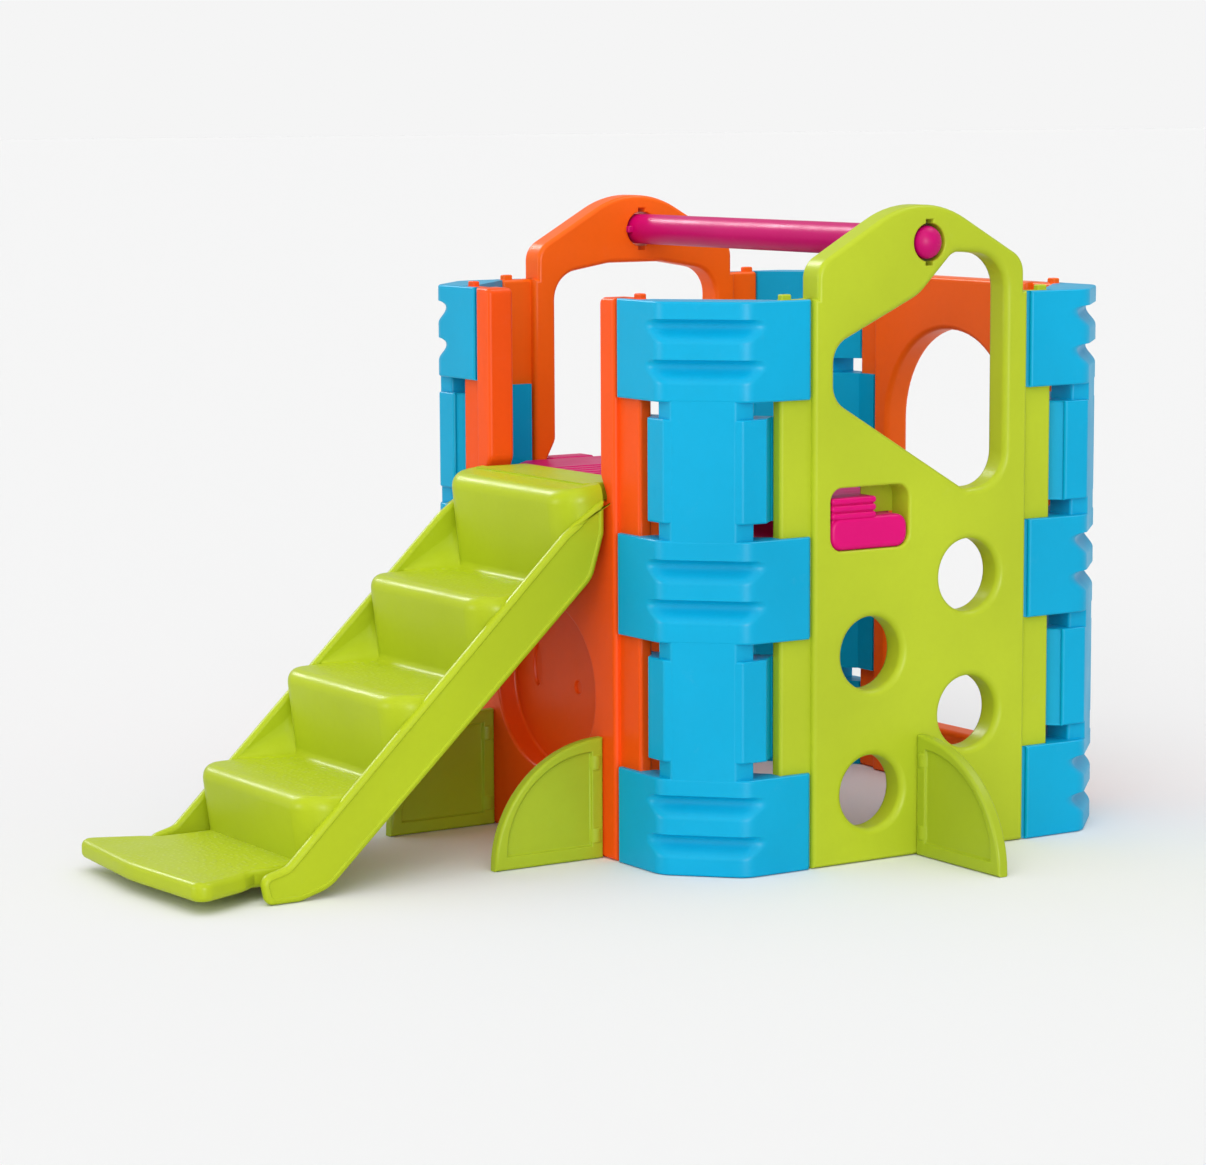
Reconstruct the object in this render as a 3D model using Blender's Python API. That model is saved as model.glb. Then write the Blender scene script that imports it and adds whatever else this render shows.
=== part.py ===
"""Slide playset: a climbing tower of four moulded walls and four corner posts.

A stepped ramp hooks over the sill of one wall, a bar joins the two tall walls,
a half deck lies inside, and three stabiliser feet stand out from the base.
Metres, +Z up. Each wall is drawn as the ramp wall, which faces -Y, and is then
turned about Z: 0 deg ramp wall, 90 climbing wall, 180 door wall, 270 arch wall.
"""

from math import acos, atan2, cos, pi, sin, sqrt, tan

import bmesh
import bpy
from mathutils import Matrix, Vector

# Overall tower, in plan a square with its corners cut off
TOWER_WIDTH = 1.038
POST_HEIGHT = 1.064
CORNER_CUT = 0.117
FLANGE_REACH = 0.150
SEAM = 0.001
FIT_GAP = 0.0005
TOUCH_GAP = 0.0003

# Corner posts
BAND_THICKNESS = 0.012
BAND_LOW_TOP = 0.182
BAND_MIDDLE_BOTTOM = 0.435
BAND_MIDDLE_TOP = 0.6255
BAND_TOP_HEIGHT = 0.184
BAND_EDGE = 0.004
BEND_RADIUS = 0.045
BEND_STEPS = 2
NOTCH_HEIGHT = 0.031
GROOVE_OFFSET = 0.037
GROOVE_HEIGHT = 0.046
GROOVE_DEPTH = 0.0215
GROOVE_PROFILE = ((-0.5, 0.0), (-0.25, 0.45), (0.1, 0.95), (0.3, 1.0), (0.5, 0.0))
POST_SKIN = 0.004
TAB_END = 0.338
COLUMN_END = 0.3745
COLUMN_FACE = 0.497
COLUMN_INNER = 0.440
BORE_FACE = 0.480
STRIP_THICKNESS = 0.011

# Walls
WALL_THICKNESS = 0.058
WALL_SKIN = 0.004
WALL_EDGE = 0.006
TONGUE_WIDTH = 0.068
TONGUE_THICKNESS = 0.029
LUG_HEIGHT = 0.010
GABLE_STEP = 0.0095
GABLE_SHOULDER_RISE = 0.062
GABLE_PEAK_RISE = 0.136
GABLE_PEAK_RADIUS = 0.200
GABLE_SHOULDER_RADIUS = 0.045

# Openings of the walls
GATE_JAMB = 0.051
GATE_FLARE = 0.020
GATE_FLARE_HEIGHT = 0.050
GATE_SILL = 0.680
ARCH_RISE = 0.029
ARCH_SHOULDER_DROP = 0.022
DOOR_JAMB = 0.046
DOOR_SILL = 0.122
DOOR_HEAD = 0.107
DOOR_ARCH_FLAT = 0.005
RECESS_HALF_WIDTH = 0.179
RECESS_HALF_HEIGHT = 0.166
RECESS_CENTRE = 0.305
RECESS_DEPTH = 0.044
HOLD_RADIUS = 0.0695
HOLD_SIDE = 0.115
HOLD_FIRST = 0.132
HOLD_PITCH = 0.132
HOLD_COUNT = 4
SLOT_LEFT = -0.212
SLOT_RIGHT = -0.031
SLOT_DROP = 0.101
SLOT_HEADROOM = 0.017
SLOT_RADIUS = 0.026

# Corners of the climbing wall's leaf opening, as (x, height, radius): the lower ones
# above the deck's top, the upper ones above the shoulders of the gable
LEAF_LOWER_CORNERS = ((0.105, -0.002, 0.030), (0.197, 0.005, 0.065))
LEAF_UPPER_CORNERS = (
    (0.197, 0.009, 0.070),
    (0.075, 0.017, 0.035),
    (-0.005, -0.061, 0.100),
    (-0.203, -0.151, 0.050),
    (-0.203, -0.250, 0.050),
)

# Overhead bar, with two lugs at each end that lock behind the walls
BAR_DROP = 0.100
BAR_OFFSET = 0.013
BAR_RADIUS = 0.031
BAR_SKIN = 0.003
BAR_CLEARANCE = 0.001
BAR_DOME = 0.020
BAR_PROTRUSION = 0.012
BAR_INSET = 0.006
BAR_TIP = 0.35
BAR_LUG_REACH = 0.011
BAR_LUG_WIDTH = 0.014
BAR_LUG_LENGTH = 0.010
BAR_LUG_CLEARANCE = 0.002

# Deck, with a beam whose ends lie in slots of the two tall walls
DECK_TOP = 0.695
DECK_THICKNESS = 0.045
DECK_SKIN = 0.004
DECK_EDGE = 0.004
DECK_BACK = -0.030
DECK_FRONT_GAP = 0.013
BEAM_HEIGHT = 0.062
BEAM_SIDE_GAP = 0.002
BEAM_STEP = 0.072
END_GROOVE_COUNT = 2
END_GROOVE_HEIGHT = 0.004
END_GROOVE_DEPTH = 0.003

# Stepped ramp
RAMP_HALF_WIDTH = 0.238
RAIL_WIDTH = 0.020
RAIL_EDGE = 0.006
RAMP_SKIN = 0.004
RAMP_WALL_GAP = 0.010
STEP_SIDE_INSET = 0.010
STEP_COUNT = 4
STEP_RUN = 0.1845
FIRST_TREAD_HEIGHT = 0.184
TOP_RISE = 0.185
TOP_NOSE_REACH = 0.0995
NOSE_RADIUS = 0.024
NOSE_DROP = 0.050
NOSE_OVERHANG = 0.020
LANDING_THICKNESS = 0.036
LANDING_CROWN = 0.012
LANDING_SIDE_GAP = 0.003
LANDING_END_REACH = 0.033
LANDING_EDGE = 0.010
HOOK_CLEARANCE = 0.012
HOOK_THICKNESS = 0.014
HOOK_DEPTH = 0.030
HOOK_EDGE = 0.004
LIP_REACH = 0.243
LIP_BOW = 0.020
LIP_HALF_WIDTH = 0.262
LIP_CORNER_RADIUS = 0.025
LIP_LIFT = 0.024
LIP_THICKNESS = 0.036
LIP_NOTCH_REACH = 0.110
LIP_NECK_REACH = 0.080
LIP_NECK_HALF_WIDTH = 0.190
LIP_NECK_FLARE = 0.022
LIP_NECK_RADIUS = 0.020
DRAIN_RADIUS = 0.010

# Side view of the ramp's rails and underside, as (y, z, radius), in the order
# they are drawn: toe and heel from the lowest nose, head and back from the top tread
RAIL_TOE = ((-0.078, 0.0, 0.012), (-0.090, 0.052, 0.014), (-0.036, 0.066, 0.030))
RAIL_HEAD = ((0.0, -0.077, 0.060), (0.072, -0.026, 0.020))
RAIL_BACK = ((0.0625, -0.164, 0.060),)
RAIL_HEEL = ((0.052, 0.018, 0.040), (-0.010, 0.0, 0.0))
RAIL_END_LAP = 0.006
RAIL_END_RADIUS = 0.010
UNDERSIDE_BACK = ((0.061, -0.161, 0.0),)
UNDERSIDE_HEEL = ((0.052, 0.022, 0.0),)

# Stabiliser feet
FOOT_REACH = 0.252
FOOT_HEIGHT = 0.232
FOOT_THICKNESS = 0.024
FOOT_EDGE = 0.004
FOOT_RIM = 0.020
FOOT_RECESS = 0.006
FOOT_SIDE = 0.200
FOOT_PLUG_DEPTH = 0.020
FOOT_PLUG_HEIGHT = 0.030
FOOT_PLUG_WIDTH = 0.012
FOOT_PLUG_LOW = 0.045
FOOT_PLUG_HIGH = 0.185
FOOT_KNUCKLE_RADIUS = 0.015

# Values that follow from the sizes above
HALF = TOWER_WIDTH / 2
BEND = HALF - CORNER_CUT
BAND_END = BEND - FLANGE_REACH
BAND_TOP_BOTTOM = POST_HEIGHT - BAND_TOP_HEIGHT
PANEL_HALF = BAND_END - SEAM
WALL_INNER = HALF - WALL_THICKNESS
GABLE_HALF_WIDTH = PANEL_HALF - GABLE_STEP
GABLE_SHOULDER = POST_HEIGHT + GABLE_SHOULDER_RISE
GABLE_PEAK = GABLE_SHOULDER + GABLE_PEAK_RISE
GATE_HALF_WIDTH = PANEL_HALF - GATE_JAMB
ARCH_TOP = POST_HEIGHT + ARCH_RISE
DOOR_HALF_WIDTH = PANEL_HALF - DOOR_JAMB
DOOR_TOP = POST_HEIGHT - DOOR_HEAD
DOOR_RADIUS = DOOR_HALF_WIDTH - DOOR_ARCH_FLAT
SLOT_BOTTOM = DECK_TOP - SLOT_DROP
SLOT_TOP = DECK_TOP + SLOT_HEADROOM
BAR_HEIGHT = GABLE_PEAK - BAR_DROP
TONGUE_OUTER = HALF - BAND_THICKNESS - FIT_GAP
TONGUE_INNER = TONGUE_OUTER - TONGUE_THICKNESS
TONGUE_END = PANEL_HALF + TONGUE_WIDTH
POST_STOP = TONGUE_END + FIT_GAP
CORE_FACE = HALF - BAND_THICKNESS
STRIP_OUTER = TONGUE_INNER - FIT_GAP
STRIP_INNER = STRIP_OUTER - STRIP_THICKNESS
LANDING_END = -WALL_INNER + LANDING_END_REACH
LANDING_BOTTOM = GATE_SILL + TOUCH_GAP
LANDING_TOP = GATE_SILL + LANDING_THICKNESS
TOP_TREAD = LANDING_TOP - LANDING_CROWN
RAIL_INNER = RAMP_HALF_WIDTH - RAIL_WIDTH
STEP_HALF_WIDTH = RAMP_HALF_WIDTH - STEP_SIDE_INSET
STEP_RISE = (TOP_TREAD - TOP_RISE - FIRST_TREAD_HEIGHT) / (STEP_COUNT - 2)
RAMP_FACE = -HALF - RAMP_WALL_GAP
TOP_NOSE = -HALF - TOP_NOSE_REACH
FIRST_NOSE = TOP_NOSE - STEP_RUN * (STEP_COUNT - 1)
LIP_END = FIRST_NOSE - LIP_REACH
DECK_FRONT = LANDING_END + DECK_FRONT_GAP
ARC_STEPS = 4

COLOURS = {
    "green": (0.50, 0.61, 0.03),
    "blue": (0.0, 0.43, 0.75),
    "red_orange": (0.87, 0.11, 0.015),
    "orange": (0.84, 0.15, 0.012),
    "magenta": (0.75, 0.0, 0.21),
}

# Columns say where an outline's own X, Y and the plate's thickness point
PLANES = {
    "XY": ((1, 0, 0), (0, 1, 0), (0, 0, 1)),
    "YZ": ((0, 1, 0), (0, 0, 1), (1, 0, 0)),
    "XZ": ((1, 0, 0), (0, 0, 1), (0, -1, 0)),
}


def clear_scene():
    for old in list(bpy.data.objects):
        bpy.data.objects.remove(old, do_unlink=True)


def make_material(name, colour):
    material = bpy.data.materials.new(name)
    material.use_nodes = True
    shader = material.node_tree.nodes["Principled BSDF"]
    shader.inputs["Base Color"].default_value = (*colour, 1.0)
    shader.inputs["Roughness"].default_value = 0.38
    shader.inputs["Metallic"].default_value = 0.0
    return material


def fillet(corners, steps=ARC_STEPS):
    """Round the corners of a closed outline; each corner is (x, y, radius)."""
    points = []
    count = len(corners)
    for index, (x, y, radius) in enumerate(corners):
        if radius <= 0.0:
            points.append((x, y))
            continue
        here = Vector((x, y))
        before = (Vector(corners[index - 1][:2]) - here).normalized()
        after = (Vector(corners[(index + 1) % count][:2]) - here).normalized()
        half_angle = before.angle(after) / 2
        centre = here + (before + after).normalized() * radius / sin(half_angle)
        start = here + before * radius / tan(half_angle) - centre
        end = here + after * radius / tan(half_angle) - centre
        first = atan2(start.y, start.x)
        sweep = (atan2(end.y, end.x) - first + pi) % (2 * pi) - pi
        for step in range(steps + 1):
            angle = first + sweep * step / steps
            points.append((centre.x + radius * cos(angle), centre.y + radius * sin(angle)))
    return points


def mirrored(right_half):
    """Close a half outline, listed upwards on its right side, with its mirror image."""
    return right_half + [(-corner[0], *corner[1:]) for corner in reversed(right_half)]


def ellipse(centre_x, centre_y, radius_x, radius_y, steps=20):
    angles = [2 * pi * step / steps for step in range(steps)]
    return [(centre_x + radius_x * cos(angle), centre_y + radius_y * sin(angle)) for angle in angles]


def inset(outline, distance):
    """Move a closed outline inwards by a distance, with mitred corners."""
    pairs = zip(outline, outline[1:] + outline[:1])
    area = sum(x0 * y1 - x1 * y0 for (x0, y0), (x1, y1) in pairs)
    side = 1.0 if area > 0 else -1.0
    moved = []
    for index, point in enumerate(outline):
        here = Vector(point)
        before = (here - Vector(outline[index - 1])).normalized()
        after = (Vector(outline[(index + 1) % len(outline)]) - here).normalized()
        normal_before = Vector((-before.y, before.x)) * side
        normal_after = Vector((-after.y, after.x)) * side
        mitre = (normal_before + normal_after) / (1.0 + normal_before.dot(normal_after))
        moved.append(tuple(here + mitre * distance))
    return moved


def link_mesh(name, mesh, collection):
    item = bpy.data.objects.new(name, mesh)
    collection.objects.link(item)
    return item


def move_to(item, collection):
    for old in list(item.users_collection):
        old.objects.unlink(item)
    collection.objects.link(item)


def plate(name, plane, outlines, low, high, edge=0.0):
    """A flat plate from low to high across its plane, with chamfered edges.

    The first outline is the rim, the others are holes through the plate."""
    curve = bpy.data.curves.new(name, "CURVE")
    curve.dimensions = "2D"
    curve.fill_mode = "BOTH"
    curve.extrude = (high - low) / 2 - edge
    curve.bevel_depth = edge
    curve.bevel_resolution = 0
    curve.offset = -edge
    for outline in outlines:
        spline = curve.splines.new("POLY")
        spline.points.add(len(outline) - 1)
        for point, (x, y) in zip(spline.points, outline):
            point.co = (x, y, 0.0, 1.0)
        spline.use_cyclic_u = True
    flat = link_mesh(name, curve, CUTTERS)
    bpy.context.view_layer.update()
    mesh = bpy.data.meshes.new_from_object(flat.evaluated_get(bpy.context.evaluated_depsgraph_get()))
    bpy.data.objects.remove(flat, do_unlink=True)
    across, up, through = (Vector(column) for column in PLANES[plane])
    turn = Matrix((across, up, through)).transposed().to_4x4()
    middle = (low + high) / 2 * (-1 if plane == "XZ" else 1)
    mesh.transform(Matrix.Translation(through * middle) @ turn)
    work = bmesh.new()
    work.from_mesh(mesh)
    bmesh.ops.remove_doubles(work, verts=work.verts, dist=0.00001)
    face_outwards(work)
    work.to_mesh(mesh)
    work.free()
    return link_mesh(name, mesh, CUTTERS)


def face_outwards(work):
    """Turn the faces of a closed solid outwards, however thin it is."""
    bmesh.ops.recalc_face_normals(work, faces=work.faces)
    if work.calc_volume(signed=True) < 0:
        bmesh.ops.reverse_faces(work, faces=work.faces)


def loft(name, sections):
    """A closed solid through sections with the same number of points."""
    work = bmesh.new()
    rings = [[work.verts.new(point) for point in section] for section in sections]
    for lower, upper in zip(rings, rings[1:]):
        for index in range(len(lower)):
            following = (index + 1) % len(lower)
            work.faces.new((lower[index], lower[following], upper[following], upper[index]))
    work.faces.new(rings[0])
    work.faces.new(rings[-1])
    face_outwards(work)
    mesh = bpy.data.meshes.new(name)
    work.to_mesh(mesh)
    work.free()
    return link_mesh(name, mesh, CUTTERS)


def block(name, low, high):
    """A box between two corners, given in any order."""
    bpy.ops.mesh.primitive_cube_add(size=1.0)
    item = bpy.context.object
    item.name = name
    size = [abs(b - a) for a, b in zip(low, high)]
    middle = (Vector(high) + Vector(low)) / 2
    item.data.transform(Matrix.Translation(middle) @ Matrix.Diagonal((*size, 1.0)))
    move_to(item, CUTTERS)
    return item


def rod(name, start, end, radius, sides=24):
    """A cylinder between two points."""
    axis = Vector(end) - Vector(start)
    bpy.ops.mesh.primitive_cylinder_add(vertices=sides, radius=radius, depth=axis.length)
    item = bpy.context.object
    item.name = name
    turn = Vector((0.0, 0.0, 1.0)).rotation_difference(axis).to_matrix().to_4x4()
    item.data.transform(Matrix.Translation((Vector(start) + Vector(end)) / 2) @ turn)
    move_to(item, CUTTERS)
    return item


def combine(body, others, operation):
    """Apply a Boolean of each other object to the body and remove the others."""
    for other in others:
        modifier = body.modifiers.new(operation.lower(), "BOOLEAN")
        modifier.operation = operation
        modifier.object = other
        modifier.solver = "EXACT"
    bpy.context.view_layer.update()
    mesh = bpy.data.meshes.new_from_object(body.evaluated_get(bpy.context.evaluated_depsgraph_get()))
    body.modifiers.clear()
    body.data = mesh
    for other in others:
        bpy.data.objects.remove(other, do_unlink=True)
    return body


def finish(item, name, colour, parent, place=(0.0, 0.0, 0.0), turn=0.0):
    """Hand a finished solid over to the part's collection, at its place."""
    move_to(item, PARTS)
    item.name = name
    item.data.materials.clear()
    item.data.materials.append(MATERIALS[colour])
    item.parent = parent
    item.location = place
    item.rotation_euler = (0.0, 0.0, turn)
    return item


def corner_plan(end, face, depth, inner):
    """Plan of a block in the +X +Y corner, its corner face sunk by a depth."""
    bend = HALF + BEND - depth * sqrt(2) - face
    return [(end, face), (bend, face), (face, bend), (face, end), (inner, end), (end, inner)]


def band_outline(shrink, depth):
    """Plan of a wrap band round the +X +Y corner, with a lap over each wall's tongue."""
    end = BAND_END + shrink
    face = HALF - shrink
    bend = HALF + BEND - (shrink + depth) * sqrt(2) - face
    outer = [(end, face, 0.0), (bend, face, BEND_RADIUS), (face, bend, BEND_RADIUS), (face, end, 0.0)]
    inner = [
        (CORE_FACE, end),
        (CORE_FACE, POST_STOP),
        (STRIP_OUTER, POST_STOP),
        (POST_STOP, STRIP_OUTER),
        (POST_STOP, CORE_FACE),
        (end, CORE_FACE),
    ]
    return fillet(outer, BEND_STEPS) + inner


def wrap_band(bottom, top):
    """A band with two grooves across the corner, sharp above and sloping below."""
    middle = (bottom + top) / 2
    levels = [(bottom, BAND_EDGE, 0.0), (bottom + BAND_EDGE, 0.0, 0.0)]
    for centre in (middle - GROOVE_OFFSET, middle + GROOVE_OFFSET):
        for share, depth in GROOVE_PROFILE:
            levels.append((centre + share * GROOVE_HEIGHT, 0.0, depth * GROOVE_DEPTH))
    levels += [(top - BAND_EDGE, 0.0, 0.0), (top, BAND_EDGE, 0.0)]
    return loft("band", [[(x, y, z) for x, y in band_outline(shrink, depth)] for z, shrink, depth in levels])


def filler_outline():
    """Plan of the block between two bands, with strips behind the wall tongues."""
    face = CORE_FACE - SEAM
    bend = HALF + BEND - SEAM * sqrt(2) - face
    lap = BAND_END + BAND_EDGE
    strip_bend = POST_STOP - STRIP_THICKNESS
    return [
        (TAB_END, face),
        (bend, face),
        (face, bend),
        (face, TAB_END),
        (STRIP_OUTER, POST_STOP),
        (STRIP_OUTER, lap),
        (STRIP_INNER, lap),
        (STRIP_INNER, strip_bend),
        (strip_bend, STRIP_INNER),
        (lap, STRIP_INNER),
        (lap, STRIP_OUTER),
        (POST_STOP, STRIP_OUTER),
    ]


def corner_post():
    bands = [(0.0, BAND_LOW_TOP), (BAND_MIDDLE_BOTTOM, BAND_MIDDLE_TOP), (BAND_TOP_BOTTOM, POST_HEIGHT)]
    between = [(BAND_LOW_TOP, BAND_MIDDLE_BOTTOM), (BAND_MIDDLE_TOP, BAND_TOP_BOTTOM)]
    fillers = [(bottom + NOTCH_HEIGHT, top - NOTCH_HEIGHT) for bottom, top in between]
    column = corner_plan(COLUMN_END, COLUMN_FACE, SEAM, COLUMN_INNER)
    body = wrap_band(*bands[0])
    pieces = [wrap_band(bottom, top) for bottom, top in bands[1:]]
    for bottom, top in between:
        pieces.append(plate("column", "XY", [column], bottom - 2 * BAND_EDGE, top + 2 * BAND_EDGE))
    pieces += [plate("filler", "XY", [filler_outline()], *span) for span in fillers]
    combine(body, pieces, "UNION")

    band_pocket = inset(corner_plan(POST_STOP, COLUMN_FACE, GROOVE_DEPTH, STRIP_OUTER), 1.25 * POST_SKIN)
    filler_pocket = inset(corner_plan(TAB_END, CORE_FACE - SEAM, SEAM, STRIP_OUTER), 1.25 * POST_SKIN)
    bore = inset(corner_plan(COLUMN_END, BORE_FACE, GROOVE_DEPTH, COLUMN_INNER), POST_SKIN)
    hollows = [plate("bore", "XY", [bore], -POST_SKIN, POST_HEIGHT - 2 * POST_SKIN)]
    for outline, spans in ((band_pocket, bands), (filler_pocket, fillers)):
        for bottom, top in spans:
            hollows.append(plate("pocket", "XY", [outline], bottom + POST_SKIN, top - POST_SKIN))
    combine(body, hollows, "DIFFERENCE")
    return body


def hollow_wall(rim, holes, pocket=None):
    """A double-skin wall, open at its foot, with a hollow tongue down each side.

    A pocket is an outline that is sunk into the front face only."""
    body = plate("wall", "XZ", [rim] + holes, -HALF, -WALL_INNER, WALL_EDGE)
    tongues = []
    hollows = []
    for side in (-1, 1):
        root = side * (PANEL_HALF - 3 * WALL_SKIN)
        tip = side * TONGUE_END
        tongues.append(block("tongue", (root, -TONGUE_OUTER, 0.0), (tip, -TONGUE_INNER, POST_HEIGHT)))
        lug_low = (side * (TONGUE_END - TONGUE_THICKNESS), -TONGUE_OUTER + WALL_SKIN, POST_HEIGHT - WALL_SKIN)
        lug_high = (side * (TONGUE_END - WALL_SKIN), -TONGUE_INNER - WALL_SKIN, POST_HEIGHT + LUG_HEIGHT)
        tongues.append(block("lug", lug_low, lug_high))
        low = (root + side * WALL_SKIN / 2, -TONGUE_OUTER + WALL_SKIN, -WALL_SKIN)
        high = (tip - side * WALL_SKIN, -TONGUE_INNER - WALL_SKIN, POST_HEIGHT - 2 * WALL_SKIN)
        hollows.append(block("hollow", low, high))
    combine(body, tongues, "UNION")

    inside = [(x, -WALL_SKIN if z < 2 * WALL_SKIN else z) for x, z in inset(rim, WALL_SKIN)]
    islands = [inset(hole, -WALL_SKIN) for hole in holes]
    cavity = plate("cavity", "XZ", [inside] + islands, -HALF + WALL_SKIN, -WALL_INNER - WALL_SKIN)
    if pocket:
        floor = -HALF + RECESS_DEPTH
        skin = plate("skin", "XZ", [inset(pocket, -WALL_SKIN)], -HALF, floor + WALL_SKIN)
        combine(cavity, [skin], "DIFFERENCE")
        hollows.append(plate("pocket", "XZ", [pocket], -HALF - WALL_SKIN, floor))
    combine(body, [cavity] + hollows, "DIFFERENCE")
    return body


def bar_keyhole(middle):
    """Round hole with a keyway above and below, for the bar's lugs."""
    radius = BAR_RADIUS + BAR_CLEARANCE
    half = BAR_LUG_WIDTH / 2 + BAR_CLEARANCE
    reach = BAR_RADIUS + BAR_LUG_REACH + BAR_CLEARANCE
    edge = acos(half / radius)
    steps = 2 * ARC_STEPS
    arc = [-edge + 2 * edge * step / steps for step in range(steps + 1)]
    right = [(radius * cos(angle), radius * sin(angle)) for angle in arc] + [(half, reach)]
    left = [(-x, -y) for x, y in right]
    right.insert(0, (half, -reach))
    left.insert(0, (-half, reach))
    outline = []
    for x, y in right + left:
        outline.append((x + middle, y + BAR_HEIGHT))
    return outline


def beam_slot():
    return fillet(
        [
            (SLOT_LEFT, SLOT_BOTTOM, SLOT_RADIUS),
            (SLOT_RIGHT, SLOT_BOTTOM, SLOT_RADIUS),
            (SLOT_RIGHT, SLOT_TOP, SLOT_RADIUS),
            (SLOT_LEFT, SLOT_TOP, SLOT_RADIUS),
        ]
    )


def gable_rim():
    """Outline of a tall wall with a rounded head, from the floor up."""
    side = [
        (PANEL_HALF, 0.0, 0.0),
        (PANEL_HALF, POST_HEIGHT, 0.0),
        (GABLE_HALF_WIDTH, POST_HEIGHT, 0.0),
        (GABLE_HALF_WIDTH, GABLE_SHOULDER, GABLE_SHOULDER_RADIUS),
    ]
    corners = mirrored(side)
    corners.insert(len(side), (0.0, GABLE_PEAK, GABLE_PEAK_RADIUS))
    return fillet(corners)


def gate_side(top):
    """Right side of the gate and of the arch: a flare over the sill, then a straight jamb."""
    flare = GATE_HALF_WIDTH + GATE_FLARE
    return [
        (flare, GATE_SILL, 0.0),
        (flare, GATE_SILL + GATE_FLARE_HEIGHT / 4, 0.0),
        (GATE_HALF_WIDTH, GATE_SILL + GATE_FLARE_HEIGHT, 0.0),
    ] + top


def foot_sockets(body, places):
    """Slots in a wall's face that take the plugs of its stabiliser feet."""
    half = FOOT_PLUG_WIDTH / 2 + FIT_GAP
    sockets = []
    for x in places:
        for z in (FOOT_PLUG_LOW, FOOT_PLUG_HIGH):
            rise = FOOT_PLUG_HEIGHT / 2 + FIT_GAP
            low = (x - half, -HALF - WALL_SKIN, z - rise)
            high = (x + half, -HALF + 2 * WALL_SKIN, z + rise)
            sockets.append(block("socket", low, high))
    return combine(body, sockets, "DIFFERENCE")


def climbing_wall():
    leaf = [(x, DECK_TOP + z, radius) for x, z, radius in LEAF_LOWER_CORNERS]
    leaf += [(x, GABLE_SHOULDER + z, radius) for x, z, radius in LEAF_UPPER_CORNERS]
    holes = [fillet(leaf), beam_slot(), bar_keyhole(BAR_OFFSET)]
    for index in range(HOLD_COUNT):
        x = HOLD_SIDE if index % 2 else -HOLD_SIDE
        holes.append(ellipse(x, HOLD_FIRST + HOLD_PITCH * index, HOLD_RADIUS, HOLD_RADIUS))
    return foot_sockets(hollow_wall(gable_rim(), holes), (0.0,))


def arch_wall():
    """The wall opposite the climbing wall; the beam lies in a notch of its sill."""
    crown = [
        (GATE_HALF_WIDTH, ARCH_TOP - ARCH_SHOULDER_DROP, 0.060),
        (GATE_HALF_WIDTH / 3, ARCH_TOP, 0.080),
    ]
    notch = [
        (-SLOT_RIGHT, GATE_SILL, 0.0),
        (-SLOT_RIGHT, SLOT_BOTTOM, SLOT_RADIUS),
        (-SLOT_LEFT, SLOT_BOTTOM, SLOT_RADIUS),
        (-SLOT_LEFT, GATE_SILL, 0.0),
    ]
    arch = fillet(mirrored(gate_side(crown)) + notch)
    return hollow_wall(gable_rim(), [arch, bar_keyhole(-BAR_OFFSET)])


def door_wall():
    rim = mirrored([(PANEL_HALF, 0.0), (PANEL_HALF, POST_HEIGHT)])
    side = [(DOOR_HALF_WIDTH, DOOR_SILL, 0.030), (DOOR_HALF_WIDTH, DOOR_TOP, DOOR_RADIUS)]
    return hollow_wall(rim, [fillet(mirrored(side))])


def ramp_wall():
    """The wall that carries the ramp: a gate, open at the top, over a sunk panel."""
    jamb = gate_side([(GATE_HALF_WIDTH, POST_HEIGHT, 0.010)])
    side = [(PANEL_HALF, 0.0, 0.0), (PANEL_HALF, POST_HEIGHT, 0.0)] + list(reversed(jamb))
    recess = ellipse(0.0, RECESS_CENTRE, RECESS_HALF_WIDTH, RECESS_HALF_HEIGHT)
    body = hollow_wall(fillet(mirrored(side)), [], recess)
    return foot_sockets(body, (-FOOT_SIDE, FOOT_SIDE))


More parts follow.
